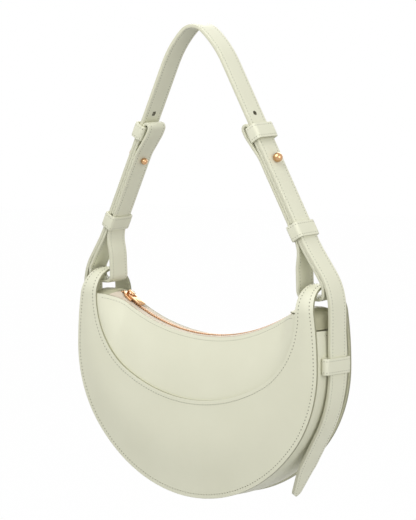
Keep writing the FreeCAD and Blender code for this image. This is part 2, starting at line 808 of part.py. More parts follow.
def strap_tail(name, side, tail_line):
    # starts just under the strap's round end and hangs down over the gusset to a tapered tip
    body = new_body(name)
    bends, radii = tail_line
    places = [point(tail_across, -strap_width / 2 - size("hinge_gap"))] + bends
    route = rounded_route([mirrored(place, side) for place in places], radii)
    sketch = new_sketch(body, "tail_side", "XZ_Plane", ribbon_edges(route, strap_wall))
    pad(body, "tail", sketch, "dims.strap_width")
    half = strap_width / 2
    reach = half + overrun
    radius = size("tip_radius")
    run = places[-1] - places[-2]
    end = places[-1].y
    centre = end + radius
    taper = end - size("tip_taper") * run.y / run.Length
    slope = math.hypot(half, taper - centre)
    touch = math.atan2(taper - centre, half) - math.acos(radius / slope)
    side_touch = point(radius * math.cos(touch), centre + radius * math.sin(touch))
    waste = [
        Part.LineSegment(point(reach, taper), point(half, taper)),
        Part.LineSegment(point(half, taper), side_touch),
        arc(point(0, centre), radius, math.pi - touch, 2 * math.pi + touch),
        Part.LineSegment(mirrored(side_touch, -1), point(-half, taper)),
        Part.LineSegment(point(-half, taper), point(-reach, taper)),
        Part.LineSegment(point(-reach, taper), point(-reach, end - reach)),
        Part.LineSegment(point(-reach, end - reach), point(reach, end - reach)),
        Part.LineSegment(point(reach, end - reach), point(reach, taper)),
    ]
    tip = new_sketch(body, "tip_outline", "YZ_Plane", waste)
    pocket(body, "tip", tip, "2 * (dims.body_half_width + 2 * dims.overrun)")


# Link straps: folded round the upper keeper, held by the stud, looped under the horn arch

keeper_height = size("keeper_height")
lower_keeper_station = size("lower_keeper_station")
upper_keeper_station = size("upper_keeper_station")
next_layer = (strap_wall + link_wall) / 2 + layer_gap
outer_layer = next_layer + link_wall + layer_gap
fold_layer = next_layer + 2 * size("fold_radius")


def link_strap(name, side):
    body = new_body(name, strap_turn)
    bend_run = size("link_bend_run")
    bend_radius = size("link_bend_radius")
    sweep_radius = size("link_sweep_radius")
    saddle_radius = size("saddle_radius")
    fold_radius = size("fold_radius")
    fold_top = upper_keeper_station + keeper_height / 2 + size("fold_rise")
    fold_end = stud_station - size("fold_end")
    arch_room = math.sqrt((half_thickness - panel_wall) ** 2 - (strap_width / 2) ** 2)
    saddle = arch_room - size("saddle_clearance") - link_wall / 2
    inside = horn_inner - horn_clearance - link_wall / 2
    leave = (tail_across + flare_in.x * next_layer - link_outside) / -flare_up.x
    leave_level = on_strap(leave, next_layer).y - size("link_drop")
    hip_reach = size("hip_radius") * math.tan(flare_angle / 2)
    knee_layer = next_layer / knee_middle.dot(strap_in)
    keeper_foot = lower_keeper_station - keeper_height / 2
    sweep_reach = sweep_radius * math.tan(math.radians(strap_lean) / 2)
    keeper_head = lower_keeper_station + keeper_height / 2
    places = [
        (on_strap(fold_end, next_layer), None),
        (on_strap(fold_top, next_layer), fold_radius),
        (on_strap(fold_top, fold_layer), fold_radius),
        (on_strap(upper_keeper_station - keeper_height / 2, fold_layer), bend_radius),
        (on_strap(stud_station + size("stud_cap_radius") + link_wall, outer_layer), bend_radius),
        (on_strap(fold_end - layer_gap, outer_layer), bend_radius),
        (on_strap(fold_end - bend_run, next_layer), bend_radius),
        (on_strap(keeper_head + 2 * bend_run, next_layer), bend_radius),
        (on_strap(keeper_head + bend_run, outer_layer), bend_radius),
        (on_strap(keeper_foot - sweep_reach, outer_layer), sweep_radius),
        (point(inside, size("link_straight_level")), sweep_radius),
        (point(inside, saddle), saddle_radius),
        (point(link_outside, saddle), saddle_radius),
        (point(link_outside, leave_level), saddle_radius),
        (on_strap(hip_reach + bend_run / 2, next_layer), sweep_radius),
        (knee_corner + knee_middle * knee_layer, size("knee_radius")),
        (on_strap(lower_keeper_station, next_layer), None),
    ]
    radii = [radius for place, radius in places if radius is not None]
    route = rounded_route([mirrored(place, side) for place, radius in places], radii)
    sketch = new_sketch(body, "link_side", "XZ_Plane", ribbon_edges(route, link_wall))
    pad(body, "link", sketch, "dims.strap_width")
    stud_hole(body, "stud_hole", side, stud_station, "4 * (dims.strap_wall + dims.link_wall)")


# Keepers: closed leather loops, square to the strap that they hold

def keeper(body, stack_expression, slack="dims.keeper_clearance"):
    sketch = new_sketch(body, "loop", "XY_Plane", [])
    for wall in ("0", "dims.keeper_wall"):
        rectangle(sketch, f"{stack_expression} + 2 * (dims.keeper_clearance + {wall})",
                  f"dims.strap_width + 2 * ({slack} + {wall})")
    loop = pad(body, "band", sketch, "dims.keeper_height")
    box = loop.Shape.BoundBox
    corners = []
    for number, edge in enumerate(loop.Shape.Edges, start=1):
        middle = edge.CenterOfMass
        if abs(middle.x) > box.XMax - tiny and abs(middle.y) > box.YMax - tiny:
            corners.append(f"Edge{number}")
    fillet = body.newObject("PartDesign::Fillet", "corners")
    fillet.Base = (loop, corners)
    fillet.setExpression("Radius", "dims.keeper_corner")


def strap_body(name, side, place):
    turn = FreeCAD.Rotation(FreeCAD.Vector(0, 1, 0), -side * strap_lean)
    return placed_body(name, strap_turn, FreeCAD.Vector(side * place.x, 0, place.y), turn)


def upper_keeper(name, side):
    place = on_strap(upper_keeper_station, (next_layer + link_wall / 2 - strap_wall / 2) / 2)
    keeper(strap_body(name, side, place), "dims.strap_wall + dims.link_wall + dims.layer_gap")


def lower_keeper(name, side):
    place = on_strap(lower_keeper_station, (outer_layer + link_wall / 2 - strap_wall / 2) / 2)
    keeper(strap_body(name, side, place), "dims.strap_wall + 2 * (dims.link_wall + dims.layer_gap)")


def gusset_keeper(name, side):
    place = FreeCAD.Vector(side * tail_across, -size("gusset_keeper_shift"), -size("gusset_keeper_depth"))
    keeper(placed_body(name, upright, place, upright), "dims.strap_wall", "dims.gusset_keeper_slack")


# Ball studs: a post with a ball outside the strap, and a cap ball on its end inside the link

ball_seat_share = 0.8


def revolve(body, edges):
    profile = new_sketch(body, "half_section", "XY_Plane", edges)
    turned = body.newObject("PartDesign::Revolution", "turned")
    turned.Profile = profile
    turned.ReferenceAxis = (origin_feature(body, "X_Axis"), [""])
    turned.Angle = 360


def stud(name, side):
    ball = size("stud_ball_radius")
    cap = size("stud_cap_radius")
    post = size("stud_post_radius")
    bore = post + size("stud_thread_clearance")
    depth = size("stud_bore_depth")
    lean_in = math.acos(ball_seat_share)
    base_share = math.sin(lean_in)
    face = strap_wall / 2 + sewn_gap
    ball_at = face + ball_seat_share * ball
    inner_face = -(outer_layer + link_wall / 2 + sewn_gap)
    cap_at = inner_face - ball_seat_share * cap
    post_end = inner_face - depth + sewn_gap
    place = on_strap(stud_station, 0)

    def at(along, out):
        return point(side * along, out)

    def dome(centre, radius, hand):
        # from the tip of the ball on the axis round to its flat base
        start, end = (0, math.pi - lean_in) if hand * side > 0 else (lean_in, math.pi)
        return arc(at(centre, 0), radius, start, end)

    post_edges = [
        dome(ball_at, ball, 1),
        Part.LineSegment(at(face, base_share * ball), at(face, post)),
        Part.LineSegment(at(face, post), at(post_end, post)),
        Part.LineSegment(at(post_end, post), at(post_end, 0)),
        Part.LineSegment(at(post_end, 0), at(ball_at + ball, 0)),
    ]
    cap_edges = [
        dome(cap_at, cap, -1),
        Part.LineSegment(at(inner_face, base_share * cap), at(inner_face, bore)),
        Part.LineSegment(at(inner_face, bore), at(inner_face - depth, bore)),
        Part.LineSegment(at(inner_face - depth, bore), at(inner_face - depth, 0)),
        Part.LineSegment(at(inner_face - depth, 0), at(cap_at - cap, 0)),
    ]
    revolve(strap_body(name + "_stud_post", side, place), post_edges)
    revolve(strap_body(name + "_stud_cap", side, place), cap_edges)


shoulder_strap()
strap_tail("left_strap_tail", -1, left_tail_line())
strap_tail("right_strap_tail", 1, right_tail_line())
for side_name, side in (("left", -1), ("right", 1)):
    link_strap(side_name + "_link_strap", side)
    upper_keeper(side_name + "_upper_keeper", side)
    lower_keeper(side_name + "_lower_keeper", side)
    gusset_keeper(side_name + "_gusset_keeper", side)
    stud(side_name, side)

# Check every object, then write one file per sub-part

doc.recompute()
for item in doc.Objects:
    if "Invalid" in item.State or "Error" in item.State:
        raise RuntimeError(f"{item.Label} failed: {item.State}")
for body in sub_parts:
    if body.Shape.isNull() or not body.Shape.isValid():
        raise RuntimeError(f"{body.Label} has no valid shape")

os.makedirs("parts", exist_ok=True)
for body in sub_parts:
    body.Shape.exportStep(f"parts/{body.Label}.step")
print(f"{len(sub_parts)} sub-parts written, strap lean {strap_lean:.2f} degrees, tail at {tail_across:.2f}")
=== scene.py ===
import json
from bisect import bisect_left
from math import acos, asin, atan, atan2, cos, hypot, pi, radians, sin, sqrt, tan

import bmesh
import bpy
from mathutils import Matrix, Vector


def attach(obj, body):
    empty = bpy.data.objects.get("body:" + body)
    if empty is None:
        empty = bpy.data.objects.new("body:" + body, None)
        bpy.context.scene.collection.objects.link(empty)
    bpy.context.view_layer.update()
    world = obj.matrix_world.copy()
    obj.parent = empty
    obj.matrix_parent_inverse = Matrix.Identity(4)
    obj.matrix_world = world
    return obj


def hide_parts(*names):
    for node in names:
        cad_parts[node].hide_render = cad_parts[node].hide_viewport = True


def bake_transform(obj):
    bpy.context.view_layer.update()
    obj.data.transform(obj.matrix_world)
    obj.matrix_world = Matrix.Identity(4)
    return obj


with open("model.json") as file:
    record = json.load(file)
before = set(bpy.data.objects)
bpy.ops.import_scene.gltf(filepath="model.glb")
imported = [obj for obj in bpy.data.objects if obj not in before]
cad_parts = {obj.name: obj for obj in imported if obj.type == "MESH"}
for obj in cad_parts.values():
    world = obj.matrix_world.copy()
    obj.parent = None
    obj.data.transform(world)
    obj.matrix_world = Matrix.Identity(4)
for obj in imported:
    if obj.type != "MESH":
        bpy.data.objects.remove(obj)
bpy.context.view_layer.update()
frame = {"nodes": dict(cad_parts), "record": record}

# Front crescent panel: one piece of smooth pale leather that makes the whole half moon.
# Its two horns run up, over an arch and down to the back, where they are sewn to the back panel.
# The edges are turned and sewn down, so the face swells a little between the two rows of stitches.

mm = 0.001
swing_joint = next(joint for joint in frame["record"]["behaviour"]["joints"] if joint["name"] == "bag_swing")
horn_axis = Vector(swing_joint["pos_m"])
half_width = 136
body_depth = 164
widest_depth = 45
round_depth = body_depth - widest_depth
side_radius = round_depth ** 2 / half_width
half_thickness = 22.5
flank_radius = 285
horn_width = 22.5
horn_inner = half_width - horn_width
seam_depth = 81
seam_round_share = 0.864
panel_wall = 2.2
sewn_gap = 0.1
stitch_inset = 3.5
arc_steps = 60
line_steps = 400
crease_angle = radians(50)
faces = (("front", -1), ("back", 1))


def on_bag(across, back, up):
    # a place on the bag, in millimetres from the middle of the horn axis
    return horn_axis + Vector((across, back, up)) * mm


def reaches(line):
    # how far along a line each of its points lies
    lengths = [0]
    for before, after in zip(line, line[1:]):
        lengths.append(lengths[-1] + (after - before).length)
    return lengths


def found(lengths, reach):
    # the piece of a line that a reach falls on, and the share of that piece
    piece = min(bisect_left(lengths, reach, 1), len(lengths) - 1) - 1
    run = max(lengths[piece + 1] - lengths[piece], 1e-9)
    return piece, (reach - lengths[piece]) / run


def evenly(line, steps):
    # the same line with its points at equal distances
    lengths = reaches(line)
    points = []
    for step in range(steps + 1):
        piece, share = found(lengths, lengths[-1] * step / steps)
        points.append(line[piece].lerp(line[piece + 1], share))
    return points


def joined_arcs(*arcs):
    # one even line of arcs that run on into each other, each given by centre, radius, start and end
    line = []
    for across, up, radius, start, end in arcs:
        for step in range(1 if line else 0, arc_steps + 1):
            turn = start + (end - start) * step / arc_steps
            line.append(Vector((across + radius * cos(turn), up + radius * sin(turn))))
    return evenly(line, line_steps)


def along(line, share):
    place = min(max(share, 0), 1) * (len(line) - 1)
    step = min(int(place), len(line) - 2)
    return line[step].lerp(line[step + 1], place - step)


def half_moon(width, depth, radius):
    # centre of the side arc, height and radius of the bottom arc, and where the two meet
    across = width - radius
    spare = depth - radius
    up = (across ** 2 - spare ** 2) / (2 * spare)
    return across, up, depth + up, atan2(up, across)


def flank_across(inset, level):
    return half_width - flank_radius + sqrt((flank_radius - inset) ** 2 - (level + widest_depth) ** 2)


def rim_line(inset, top):
    # the body's outline from the left flank round to the right one
    across, up, bottom, meet = half_moon(half_width, round_depth, side_radius)
    rise = asin((top + widest_depth) / (flank_radius - inset))
    flank = half_width - flank_radius
    return joined_arcs((-flank, -widest_depth, flank_radius - inset, pi - rise, pi),
                       (-across, -widest_depth, side_radius - inset, pi, pi + meet),
                       (0, up - widest_depth, bottom - inset, pi + meet, 2 * pi - meet),
                       (across, -widest_depth, side_radius - inset, -meet, 0),
                       (flank, -widest_depth, flank_radius - inset, 0, rise))


seam_radius = seam_round_share * seam_depth
seam_side, seam_up, seam_bottom, seam_meet = half_moon(horn_inner, seam_depth, seam_radius)


def seam_run(drop, start):
    # the crescent's inner edge, or a line so far below it, from one side to the other
    return joined_arcs((-seam_side, 0, seam_radius + drop, pi + start, pi + seam_meet),
                       (0, seam_up, seam_bottom + drop, pi + seam_meet, 2 * pi - seam_meet),
                       (seam_side, 0, seam_radius + drop, -seam_meet, -start))


seam_line = seam_run(0, 0)
outer_line = rim_line(0, 0)
face_points = 15
edge_points = 4
inset_limit = 0.3


def swell_at(share):
    # how far a panel that is held along both edges swells between them
    return (1 - (2 * share - 1) ** 2) ** 2


def leather_section(width, wall, swell=0, inset=stitch_inset, rounding_share=0.06):
    # outline of a cut through leather, as distance from one edge and height over the middle of the wall
    # it goes over the face, down the far edge, back along the underside and up the near edge
    half = wall / 2
    inset = min(inset, inset_limit * width)
    edge = min(0.12 * wall, 0.1 * inset)
    across = [edge, 1.8 * edge, 0.5 * inset, inset, 1.5 * inset]
    middle = [across[-1] + (width - 2 * across[-1]) * share for share in (0.2, 0.35, 0.5, 0.65, 0.8)]
    across = across + middle + [width - place for place in reversed(across)]
    front = []
    back = []
    for place in across:
        turned = rounding_share * wall * max(0, 1 - min(place, width - place) / (1.2 * wall)) ** 2
        bulge = swell * swell_at(place / width)
        front.append((place, half + bulge - turned))
        back.append((place, -half + 0.8 * bulge))
    rim = front[-1][1]
    far = [(width - 0.3 * edge, rim - 0.3 * edge), (width, rim - edge)]
    far += [(width, edge - half), (width - 0.3 * edge, 0.3 * edge - half)]
    near = [(width - place, height) for place, height in reversed(far)]
    return front + far + back[::-1] + near


def sweep(rings):
    # rolls a flat grid up along a piece, one ring of points after another, and closes its two ends
    work = bmesh.new()
    work.loops.layers.uv.new("length_and_round")
    steps = len(rings) - 1
    around = len(rings[0])
    bmesh.ops.create_grid(work, x_segments=steps, y_segments=around, size=0.5, calc_uvs=True)
    for vert in work.verts:
        ring = rings[round((vert.co.x + 0.5) * steps)]
        vert.co = ring[round((vert.co.y + 0.5) * around) % around]
    bmesh.ops.remove_doubles(work, verts=work.verts, dist=1e-7)
    bmesh.ops.holes_fill(work, edges=[edge for edge in work.edges if edge.is_boundary], sides=0)
    bmesh.ops.recalc_face_normals(work, faces=work.faces)
    return work


def put_in_scene(work, name):
    mesh = bpy.data.meshes.new(name)
    work.to_mesh(mesh)
    work.free()
    piece = bpy.data.objects.new(name, mesh)
    bpy.context.scene.collection.objects.link(piece)
    return piece


def make_piece(work, name, finish, body, slot, *nodes):
    for face in work.faces:
        face.smooth = True
    piece = put_in_scene(work, name)
    piece.data.set_sharp_from_angle(angle=crease_angle)
    piece.data.materials.append(finish)
    if body:
        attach(piece, body)
    if nodes:
        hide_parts(*nodes)
    return piece


def node_finish(name, colour, roughness, metallic=0.0):
    finish = bpy.data.materials.new(name)
    finish.use_nodes = True
    shader = finish.node_tree.nodes["Principled BSDF"]
    shader.inputs["Base Color"].default_value = (*colour, 1)
    shader.inputs["Roughness"].default_value = roughness
    shader.inputs["Metallic"].default_value = metallic
    return finish, finish.node_tree, shader


def add_node(tree, kind, **values):
    node = tree.nodes.new(kind)
    for name, value in values.items():
        node.inputs[name].default_value = value
    return node


def placed_node(tree, kind, coordinates="Object", **values):
    # a node that follows the piece's own measure, or with UV the way along and round a swept piece
    node = add_node(tree, kind, **values)
    place = tree.nodes.new("ShaderNodeTexCoord")
    tree.links.new(place.outputs[coordinates], node.inputs["Vector"])
    return node


def combined(tree, operation, first, second):
    node = tree.nodes.new("ShaderNodeMath")
    node.operation = operation
    tree.links.new(first, node.inputs[0])
    tree.links.new(second, node.inputs[1])
    return node.outputs["Value"]


def tone_between(tree, pattern, light, shade, low=0, high=1):
    tone = tree.nodes.new("ShaderNodeValToRGB")
    for element, position, colour in zip(tone.color_ramp.elements, (low, high), (shade, light)):
        element.position = position
        element.color = (*colour, 1)
    tree.links.new(pattern, tone.inputs["Fac"])
    return tone.outputs["Color"]


def add_bump(tree, shader, height, strength, depth):
    bump = add_node(tree, "ShaderNodeBump", Strength=strength, Distance=depth)
    tree.links.new(height, bump.inputs["Height"])
    tree.links.new(bump.outputs["Normal"], shader.inputs["Normal"])


def add_gloss(tree, shader, pattern, low, high):
    gloss = add_node(tree, "ShaderNodeMapRange", **{"To Min": low, "To Max": high})
    tree.links.new(pattern, gloss.inputs["Value"])
    tree.links.new(gloss.outputs["Result"], shader.inputs["Roughness"])


def leather_finish(name, light, shade, edge_paint, grain):
    # calf leather: faint cloudy colour, fine pores, a soft even sheen, and painted cut edges; a dark edge
    # colour also stands as painted shade of the seam crevices
    finish, tree, shader = node_finish(name, light, 0.5)
    cloud = placed_node(tree, "ShaderNodeTexNoise", Scale=22, Detail=3, Roughness=0.55)
    pores = placed_node(tree, "ShaderNodeTexVoronoi", Scale=1500)
    creases = placed_node(tree, "ShaderNodeTexNoise", Scale=420, Detail=4, Roughness=0.6).outputs["Fac"]
    add_bump(tree, shader, combined(tree, "ADD", pores.outputs["Distance"], creases), grain, 0.00025)
    add_gloss(tree, shader, creases, 0.44, 0.58)
    shader.inputs["Sheen Weight"].default_value = 0.08

    # the two cut edges are found by their share of the way round the section
    ring_points = 2 * (face_points + edge_points)
    far_start, far_end = face_points, face_points + edge_points - 1
    near_start, near_end = far_start + ring_points // 2, far_end + ring_points // 2
    edges = tree.nodes.new("ShaderNodeValToRGB")
    edges.color_ramp.interpolation = "CONSTANT"
    edges.color_ramp.elements[1].position = far_start / ring_points
    for point, value in ((far_end, 0), (near_start, 1), (near_end, 0)):
        edges.color_ramp.elements.new(point / ring_points).color = (value, value, value, 1)
    painted = tree.nodes.new("ShaderNodeMix")
    painted.data_type = "RGBA"
    painted.inputs["B"].default_value = (*edge_paint, 1)
    way_round = placed_node(tree, "ShaderNodeSeparateXYZ", "UV").outputs["Y"]
    tree.links.new(way_round, edges.inputs["Fac"])
    tree.links.new(edges.outputs["Color"], painted.inputs["Factor"])
    tree.links.new(tone_between(tree, cloud.outputs["Fac"], light, shade, 0.3, 0.7), painted.inputs["A"])
    tree.links.new(painted.outputs["Result"], shader.inputs["Base Color"])
    return finish


leather_light = (0.745, 0.742, 0.585)
leather_shade = (0.72, 0.717, 0.56)
# dark cut-edge colour: partly edge paint, partly painted shade of the crevice where the panels overlap
crevice_shade_edge_paint = (0.31, 0.305, 0.2)
leather_grain = 0.12
pale_leather = leather_finish("pale_leather", leather_light, leather_shade, crevice_shade_edge_paint, leather_grain)
panel_swell_share = 0.035
arch_share = 0.13


def upright_frame(inner, outer, back, facing):
    # two edges at one distance from the bag's middle, and the way that the piece faces
    return on_bag(inner.x, back, inner.y), on_bag(outer.x, back, outer.y), Vector((0, facing, 0))


def crescent_frame(share):
    # inner edge, outer edge and outward direction of the front panel, from one foot to the other
    if arch_share <= share <= 1 - arch_share:
        reach = (share - arch_share) / (1 - 2 * arch_share)
        return upright_frame(along(seam_line, reach), along(outer_line, reach), -half_thickness, -1)
    side = -1 if share < 0.5 else 1
    turn = pi * min(share, 1 - share) / arch_share
    back = half_thickness * cos(turn)
    level = half_thickness * sin(turn)
    inner = on_bag(side * horn_inner, back, level)
    outer = on_bag(side * flank_across(0, level), back, level)
    return inner, outer, Vector((0, cos(turn), sin(turn)))


def laid_on(frames, wall, swell_share=0, **shape):
    # rings of a leather piece whose face lies on a run of frames
    rings = []
    for inner, outer, out in frames:
        side = outer - inner
        width = side.length / mm
        step = side.normalized() * mm
        middle = inner - out * (wall / 2) * mm
        section = leather_section(width, wall, swell_share * width, **shape)
        rings.append([middle + step * place + out * height * mm for place, height in section])
    return rings


def lay_leather(name, frames, wall, swell_share, *nodes, finish=pale_leather, **shape):
    make_piece(sweep(laid_on(frames, wall, swell_share, **shape)), name, finish, "bag", "leather", *nodes)


panel_frames = [crescent_frame(step / 320) for step in range(321)]
lay_leather("front_panel", panel_frames, panel_wall, panel_swell_share, "front_crescent_panel")

coarse_stitch = {"pitch": 3, "length": 1.2, "radius": 0.45}
stitch_sink = 0.08
stitch_batch = 25


def two_tone(tree, shader, pattern, light, shade, strength, depth):
    # one pattern gives a surface both its colour and its height
    tree.links.new(tone_between(tree, pattern, light, shade), shader.inputs["Base Color"])
    add_bump(tree, shader, pattern, strength, depth)


# waxed thread: twisted strands with a dull shine, coloured far darker than the leather as painted shade of
# the needle holes
thread_light = (0.17, 0.165, 0.1)
hole_shade_thread, tree, shader = node_finish("hole_shade_thread", thread_light, 0.6)
strands = placed_node(tree, "ShaderNodeTexNoise", Scale=900, Detail=2)
two_tone(tree, shader, strands.outputs["Fac"], thread_light, (0.1, 0.095, 0.055), 0.4, 0.0001)


def edge_row(frames, inset, swell_share, from_outer=False):
    # where the stitches along one edge of a laid piece sit, with the direction that they face
    row = []
    for inner, outer, out in frames:
        side = outer - inner
        width = side.length / mm
        place = width - inset if from_outer else inset
        bulge = swell_share * width * swell_at(place / width)
        row.append((inner + side.normalized() * place * mm + out * (bulge - stitch_sink) * mm, out))
    return row


def sew(rows, pitch, length, radius):
    # one small spindle of thread after another along each row, half sunk in the leather
    work = bmesh.new()
    length_of_thread = bpy.data.meshes.new("length_of_thread")
    for row in rows:
        lengths = reaches([place for place, out in row])
        count = int(lengths[-1] / (pitch * mm))
        thread = bmesh.new()
        for number in range(count):
            piece, share = found(lengths, lengths[-1] * (number + 0.5) / count)
            (start, out), (end, _) = row[piece], row[piece + 1]
            ahead = (end - start).normalized()
            side = out.cross(ahead).normalized() * radius
            spindle = Matrix((side, ahead.cross(side), ahead * length / 2)).transposed().to_4x4()
            spindle.translation = start.lerp(end, share)
            bmesh.ops.create_uvsphere(thread, u_segments=6, v_segments=4, radius=mm, matrix=spindle)
            if (number + 1) % stitch_batch == 0 or number == count - 1:
                thread.to_mesh(length_of_thread)
                work.from_mesh(length_of_thread)
                thread.clear()
        thread.free()
    bpy.data.meshes.remove(length_of_thread)
    return work


def add_stitches(name, rows, body, sizes):
    return make_piece(sew(rows, **sizes), name, hole_shade_thread, body, "leather")


front_rows = [edge_row(panel_frames, stitch_inset, panel_swell_share, far) for far in (False, True)]
add_stitches("front_panel_stitches", front_rows, "bag", coarse_stitch)

# Back crescent panel: the same half moon cut without the arches, swelling out to the back.
# Its horn tops butt against the feet of the front panel's arches and are sewn to them.

back_frames = []
for step in range(241):
    edges = [along(line, step / 240) for line in (seam_line, outer_line)]
    inner, outer = [Vector((edge.x, min(edge.y, -sewn_gap))) for edge in edges]
    back_frames.append(upright_frame(inner, outer, half_thickness, 1))
lay_leather("back_panel", back_frames, panel_wall, panel_swell_share, "back_crescent_panel")
back_rows = [edge_row(back_frames, stitch_inset, panel_swell_share, far) for far in (False, True)]


def across_row(frames, share, swell_share):
    # stitches straight across a band at one of its frames
    inner, outer, out = frames[round(share * (len(frames) - 1))]
    row = []
    for step in range(13):
        place = 0.2 + 0.05 * step
        bulge = swell_share * (outer - inner).length * swell_at(place)
        row.append((inner.lerp(outer, place) + out * (bulge - stitch_sink * mm), out))
    return row


foot_share = 0.007
for share in (foot_share, 1 - foot_share):
    back_rows.append(across_row(back_frames, share, panel_swell_share))
    back_rows.append(across_row(panel_frames, share, panel_swell_share))
add_stitches("back_panel_stitches", back_rows, "bag", coarse_stitch)

# Yokes: the two upper panels of the same leather, tucked under the crescents' inner edges.
# They lean in to the zip, and their top edge is turned over and sewn along its tape.
# Their ends spread out to meet the horns.

zip_radius = 190
zip_depth = 28.3
zip_end_gap = 10.5
zip_half_span = horn_inner - zip_end_gap
yoke_gap = 18
yoke_wall = 1.8
yoke_underlap = 6
yoke_lip = 0.6
yoke_sag = 2
yoke_sink = -0.6
yoke_low_out = half_thickness - panel_wall - yoke_sink
yoke_end = horn_inner + 3
spread_start = 88
sag_start = -30
sag_run = 90
yoke_swell_share = 0.02
yoke_stitch_inset = 3.2
covered_steps = 5
fine_stitch = {"pitch": 2.6, "length": 1.2, "radius": 0.27}


def eased(share):
    # a share from nothing to one that starts and ends softly
    share = min(max(share, 0), 1)
    return share * share * (3 - 2 * share)


def zip_level(across):
    reach = min(abs(across), zip_half_span)
    return zip_radius - zip_depth - sqrt(zip_radius ** 2 - reach ** 2)


def seam_level(across):
    across = min(abs(across), horn_inner)
    if across < seam_bottom * cos(seam_meet):
        return seam_up - sqrt(seam_bottom ** 2 - across ** 2)
    return -sqrt(max(seam_radius ** 2 - (across - seam_side) ** 2, 0))


def yoke_top(across):
    # how far out and how high the top edge runs: along the zip, then levelling off
    # and spreading to the horns; the right half sags a little
    reach = min(abs(across), horn_inner)
    spread = max(reach - spread_start, 0) / (horn_inner - spread_start)
    levelled = reach - spread ** 2 * (horn_inner - spread_start) / 2
    level = zip_level(levelled) + yoke_lip - yoke_sag * eased((across - sag_start) / sag_run)
    return yoke_gap / 2 + (yoke_low_out - yoke_gap / 2) * eased(spread), level


def yoke_frames(hand):
    frames = []
    for step in range(161):
        across = yoke_end * (step / 80 - 1)
        top_out, level = yoke_top(across)
        top = on_bag(across, hand * top_out, level)
        low = on_bag(across, hand * yoke_low_out, seam_level(across) - yoke_underlap)
        out = (low - top).cross(Vector((-hand, 0, 0))).normalized()
        frames.append((top, low, out))
    return frames


yoke_rows = []
for name, hand in faces:
    frames = yoke_frames(hand)
    lay_leather(f"{name}_yoke", frames, yoke_wall, yoke_swell_share, f"{name}_yoke_panel")
    yoke_rows.append(edge_row(frames[covered_steps:-covered_steps], yoke_stitch_inset, yoke_swell_share))
add_stitches("yoke_stitches", yoke_rows, "bag", fine_stitch)

# Gusset: the long U-shaped band of the same leather that joins the two crescents.
# It is sewn in between their rims, a little below the edge, and hemmed at its two upper ends.

strap_width = 20
strap_wall = 3
link_wall = 2.4
layer_gap = 0.2
horn_clearance = 0.5
hip_room = 3.7
swing_angle = radians(38)
keeper_wall = 1.8
keeper_clearance = 0.35
swing_level = half_thickness * cos(swing_angle + asin(strap_width / 2 / half_thickness))
link_outside = flank_across(0, swing_level) + horn_clearance + link_wall / 2
tail_across = link_outside + link_wall / 2 + layer_gap + strap_wall / 2 + hip_room
gusset_recess = half_width - (tail_across - strap_wall / 2 - keeper_clearance - keeper_wall) + sewn_gap
gusset_wall = 2.2
gusset_top = -13.5
gusset_half = half_thickness - panel_wall - sewn_gap
gusset_swell_share = 0.02
gusset_rounding_share = 0.55
gusset_seam_inset = 2.2
seam_crevice = 0.6
hem_share = 0.008
look_ahead = 0.002


def level_frame(here, half, out):
    # two edges at one height, as far in front of the bag's middle as behind it
    return on_bag(here.x, -half, here.y), on_bag(here.x, half, here.y), out


def gusset_frames(line, half):
    frames = []
    for step in range(241):
        here = along(line, step / 240)
        ahead = along(line, step / 240 + look_ahead) - along(line, step / 240 - look_ahead)
        frames.append(level_frame(here, half, Vector((ahead.y, 0, -ahead.x)).normalized()))
    return frames


band_frames = gusset_frames(rim_line(gusset_recess, gusset_top), gusset_half - seam_crevice)
lay_leather("gusset_band", band_frames, gusset_wall, gusset_swell_share, "gusset",
            inset=gusset_seam_inset, rounding_share=gusset_rounding_share)
hem_rows = [across_row(band_frames, share, gusset_swell_share) for share in (hem_share, 1 - hem_share)]
add_stitches("gusset_hem_stitches", hem_rows, "bag", fine_stitch)

# Shoulder strap: one strip of doubled leather over the crown and down both sides, sewn along its edges.
# Its free ends hang on below the horns as tapered tails, so strap and tails are one piece that bends there.
# A spare hole is punched above each upper keeper, to shorten the strap.

strap_tip = radians(3)
strap_rise = 230.5
crown_radius = 18.3
crown_slope = radians(40)
crown_run = 25.3
shoulder_radius = 90
knee_radius = 100
flare_run = 40
flare_angle = radians(36)
hip_level = 20
hip_radius = 45
tail_bend_depth = 0.457 * body_depth
tail_bend_radius = 94
tail_lean = tan(radians(30))
tail_hook_depth = 0.805 * body_depth
tail_hook_radius = 60
tail_tip_lean = tan(radians(26))
tail_depth = 0.933 * body_depth
left_tail_lean = radians(54)
left_tail_tip_run = 14
tip_taper = 28
tip_radius = 5
turn_reach = 14
strap_stitch_inset = 2.6
strap_swell = 0.15
blunt_tip = 0.3
pale_edge_paint = (0.63, 0.625, 0.48)
strap_leather = leather_finish("strap_leather", leather_light, leather_shade, pale_edge_paint, leather_grain)


def on_leg(across, back, up, tip=strap_tip):
    # a place on the strap's upright part, which tips to the front about the horn axis
    return horn_axis + Matrix.Rotation(tip, 3, "X") @ Vector((across, back, up)) * mm


def on_strap(across, back, up):
    # the same, straightening into the tails below the horn axis
    return on_leg(across, back, up, strap_tip * eased((up + turn_reach) / (2 * turn_reach)))


def rounded_line(corners, radii, step):
    # straight runs joined by round bends, as points with the direction to their left
    corners = [Vector(corner) for corner in corners]
    line = [corners[0]]
    for before, corner, after, radius in zip(corners, corners[1:], corners[2:], radii):
        come = (corner - before).normalized()
        leave = (after - corner).normalized()
        turn = come.angle_signed(leave)
        reach = radius * tan(abs(turn) / 2)
        start = corner - come * reach
        hand = -1 if turn > 0 else 1
        centre = start + Vector((-come.y, come.x)) * hand * radius
        spoke = start - centre
        bends = max(3, int(abs(turn) * radius / step))
        for bend in range(bends + 1):
            angle = hand * abs(turn) * bend / bends
            line.append(centre + Matrix.Rotation(angle, 2) @ spoke)
    line.append(corners[-1])
    points = evenly(line, int(reaches(line)[-1] / step))
    run = []
    for number, here in enumerate(points):
        ahead = (points[min(number + 1, len(points) - 1)] - points[max(number - 1, 0)]).normalized()
        run.append((here, Vector((-ahead.y, ahead.x))))
    return run


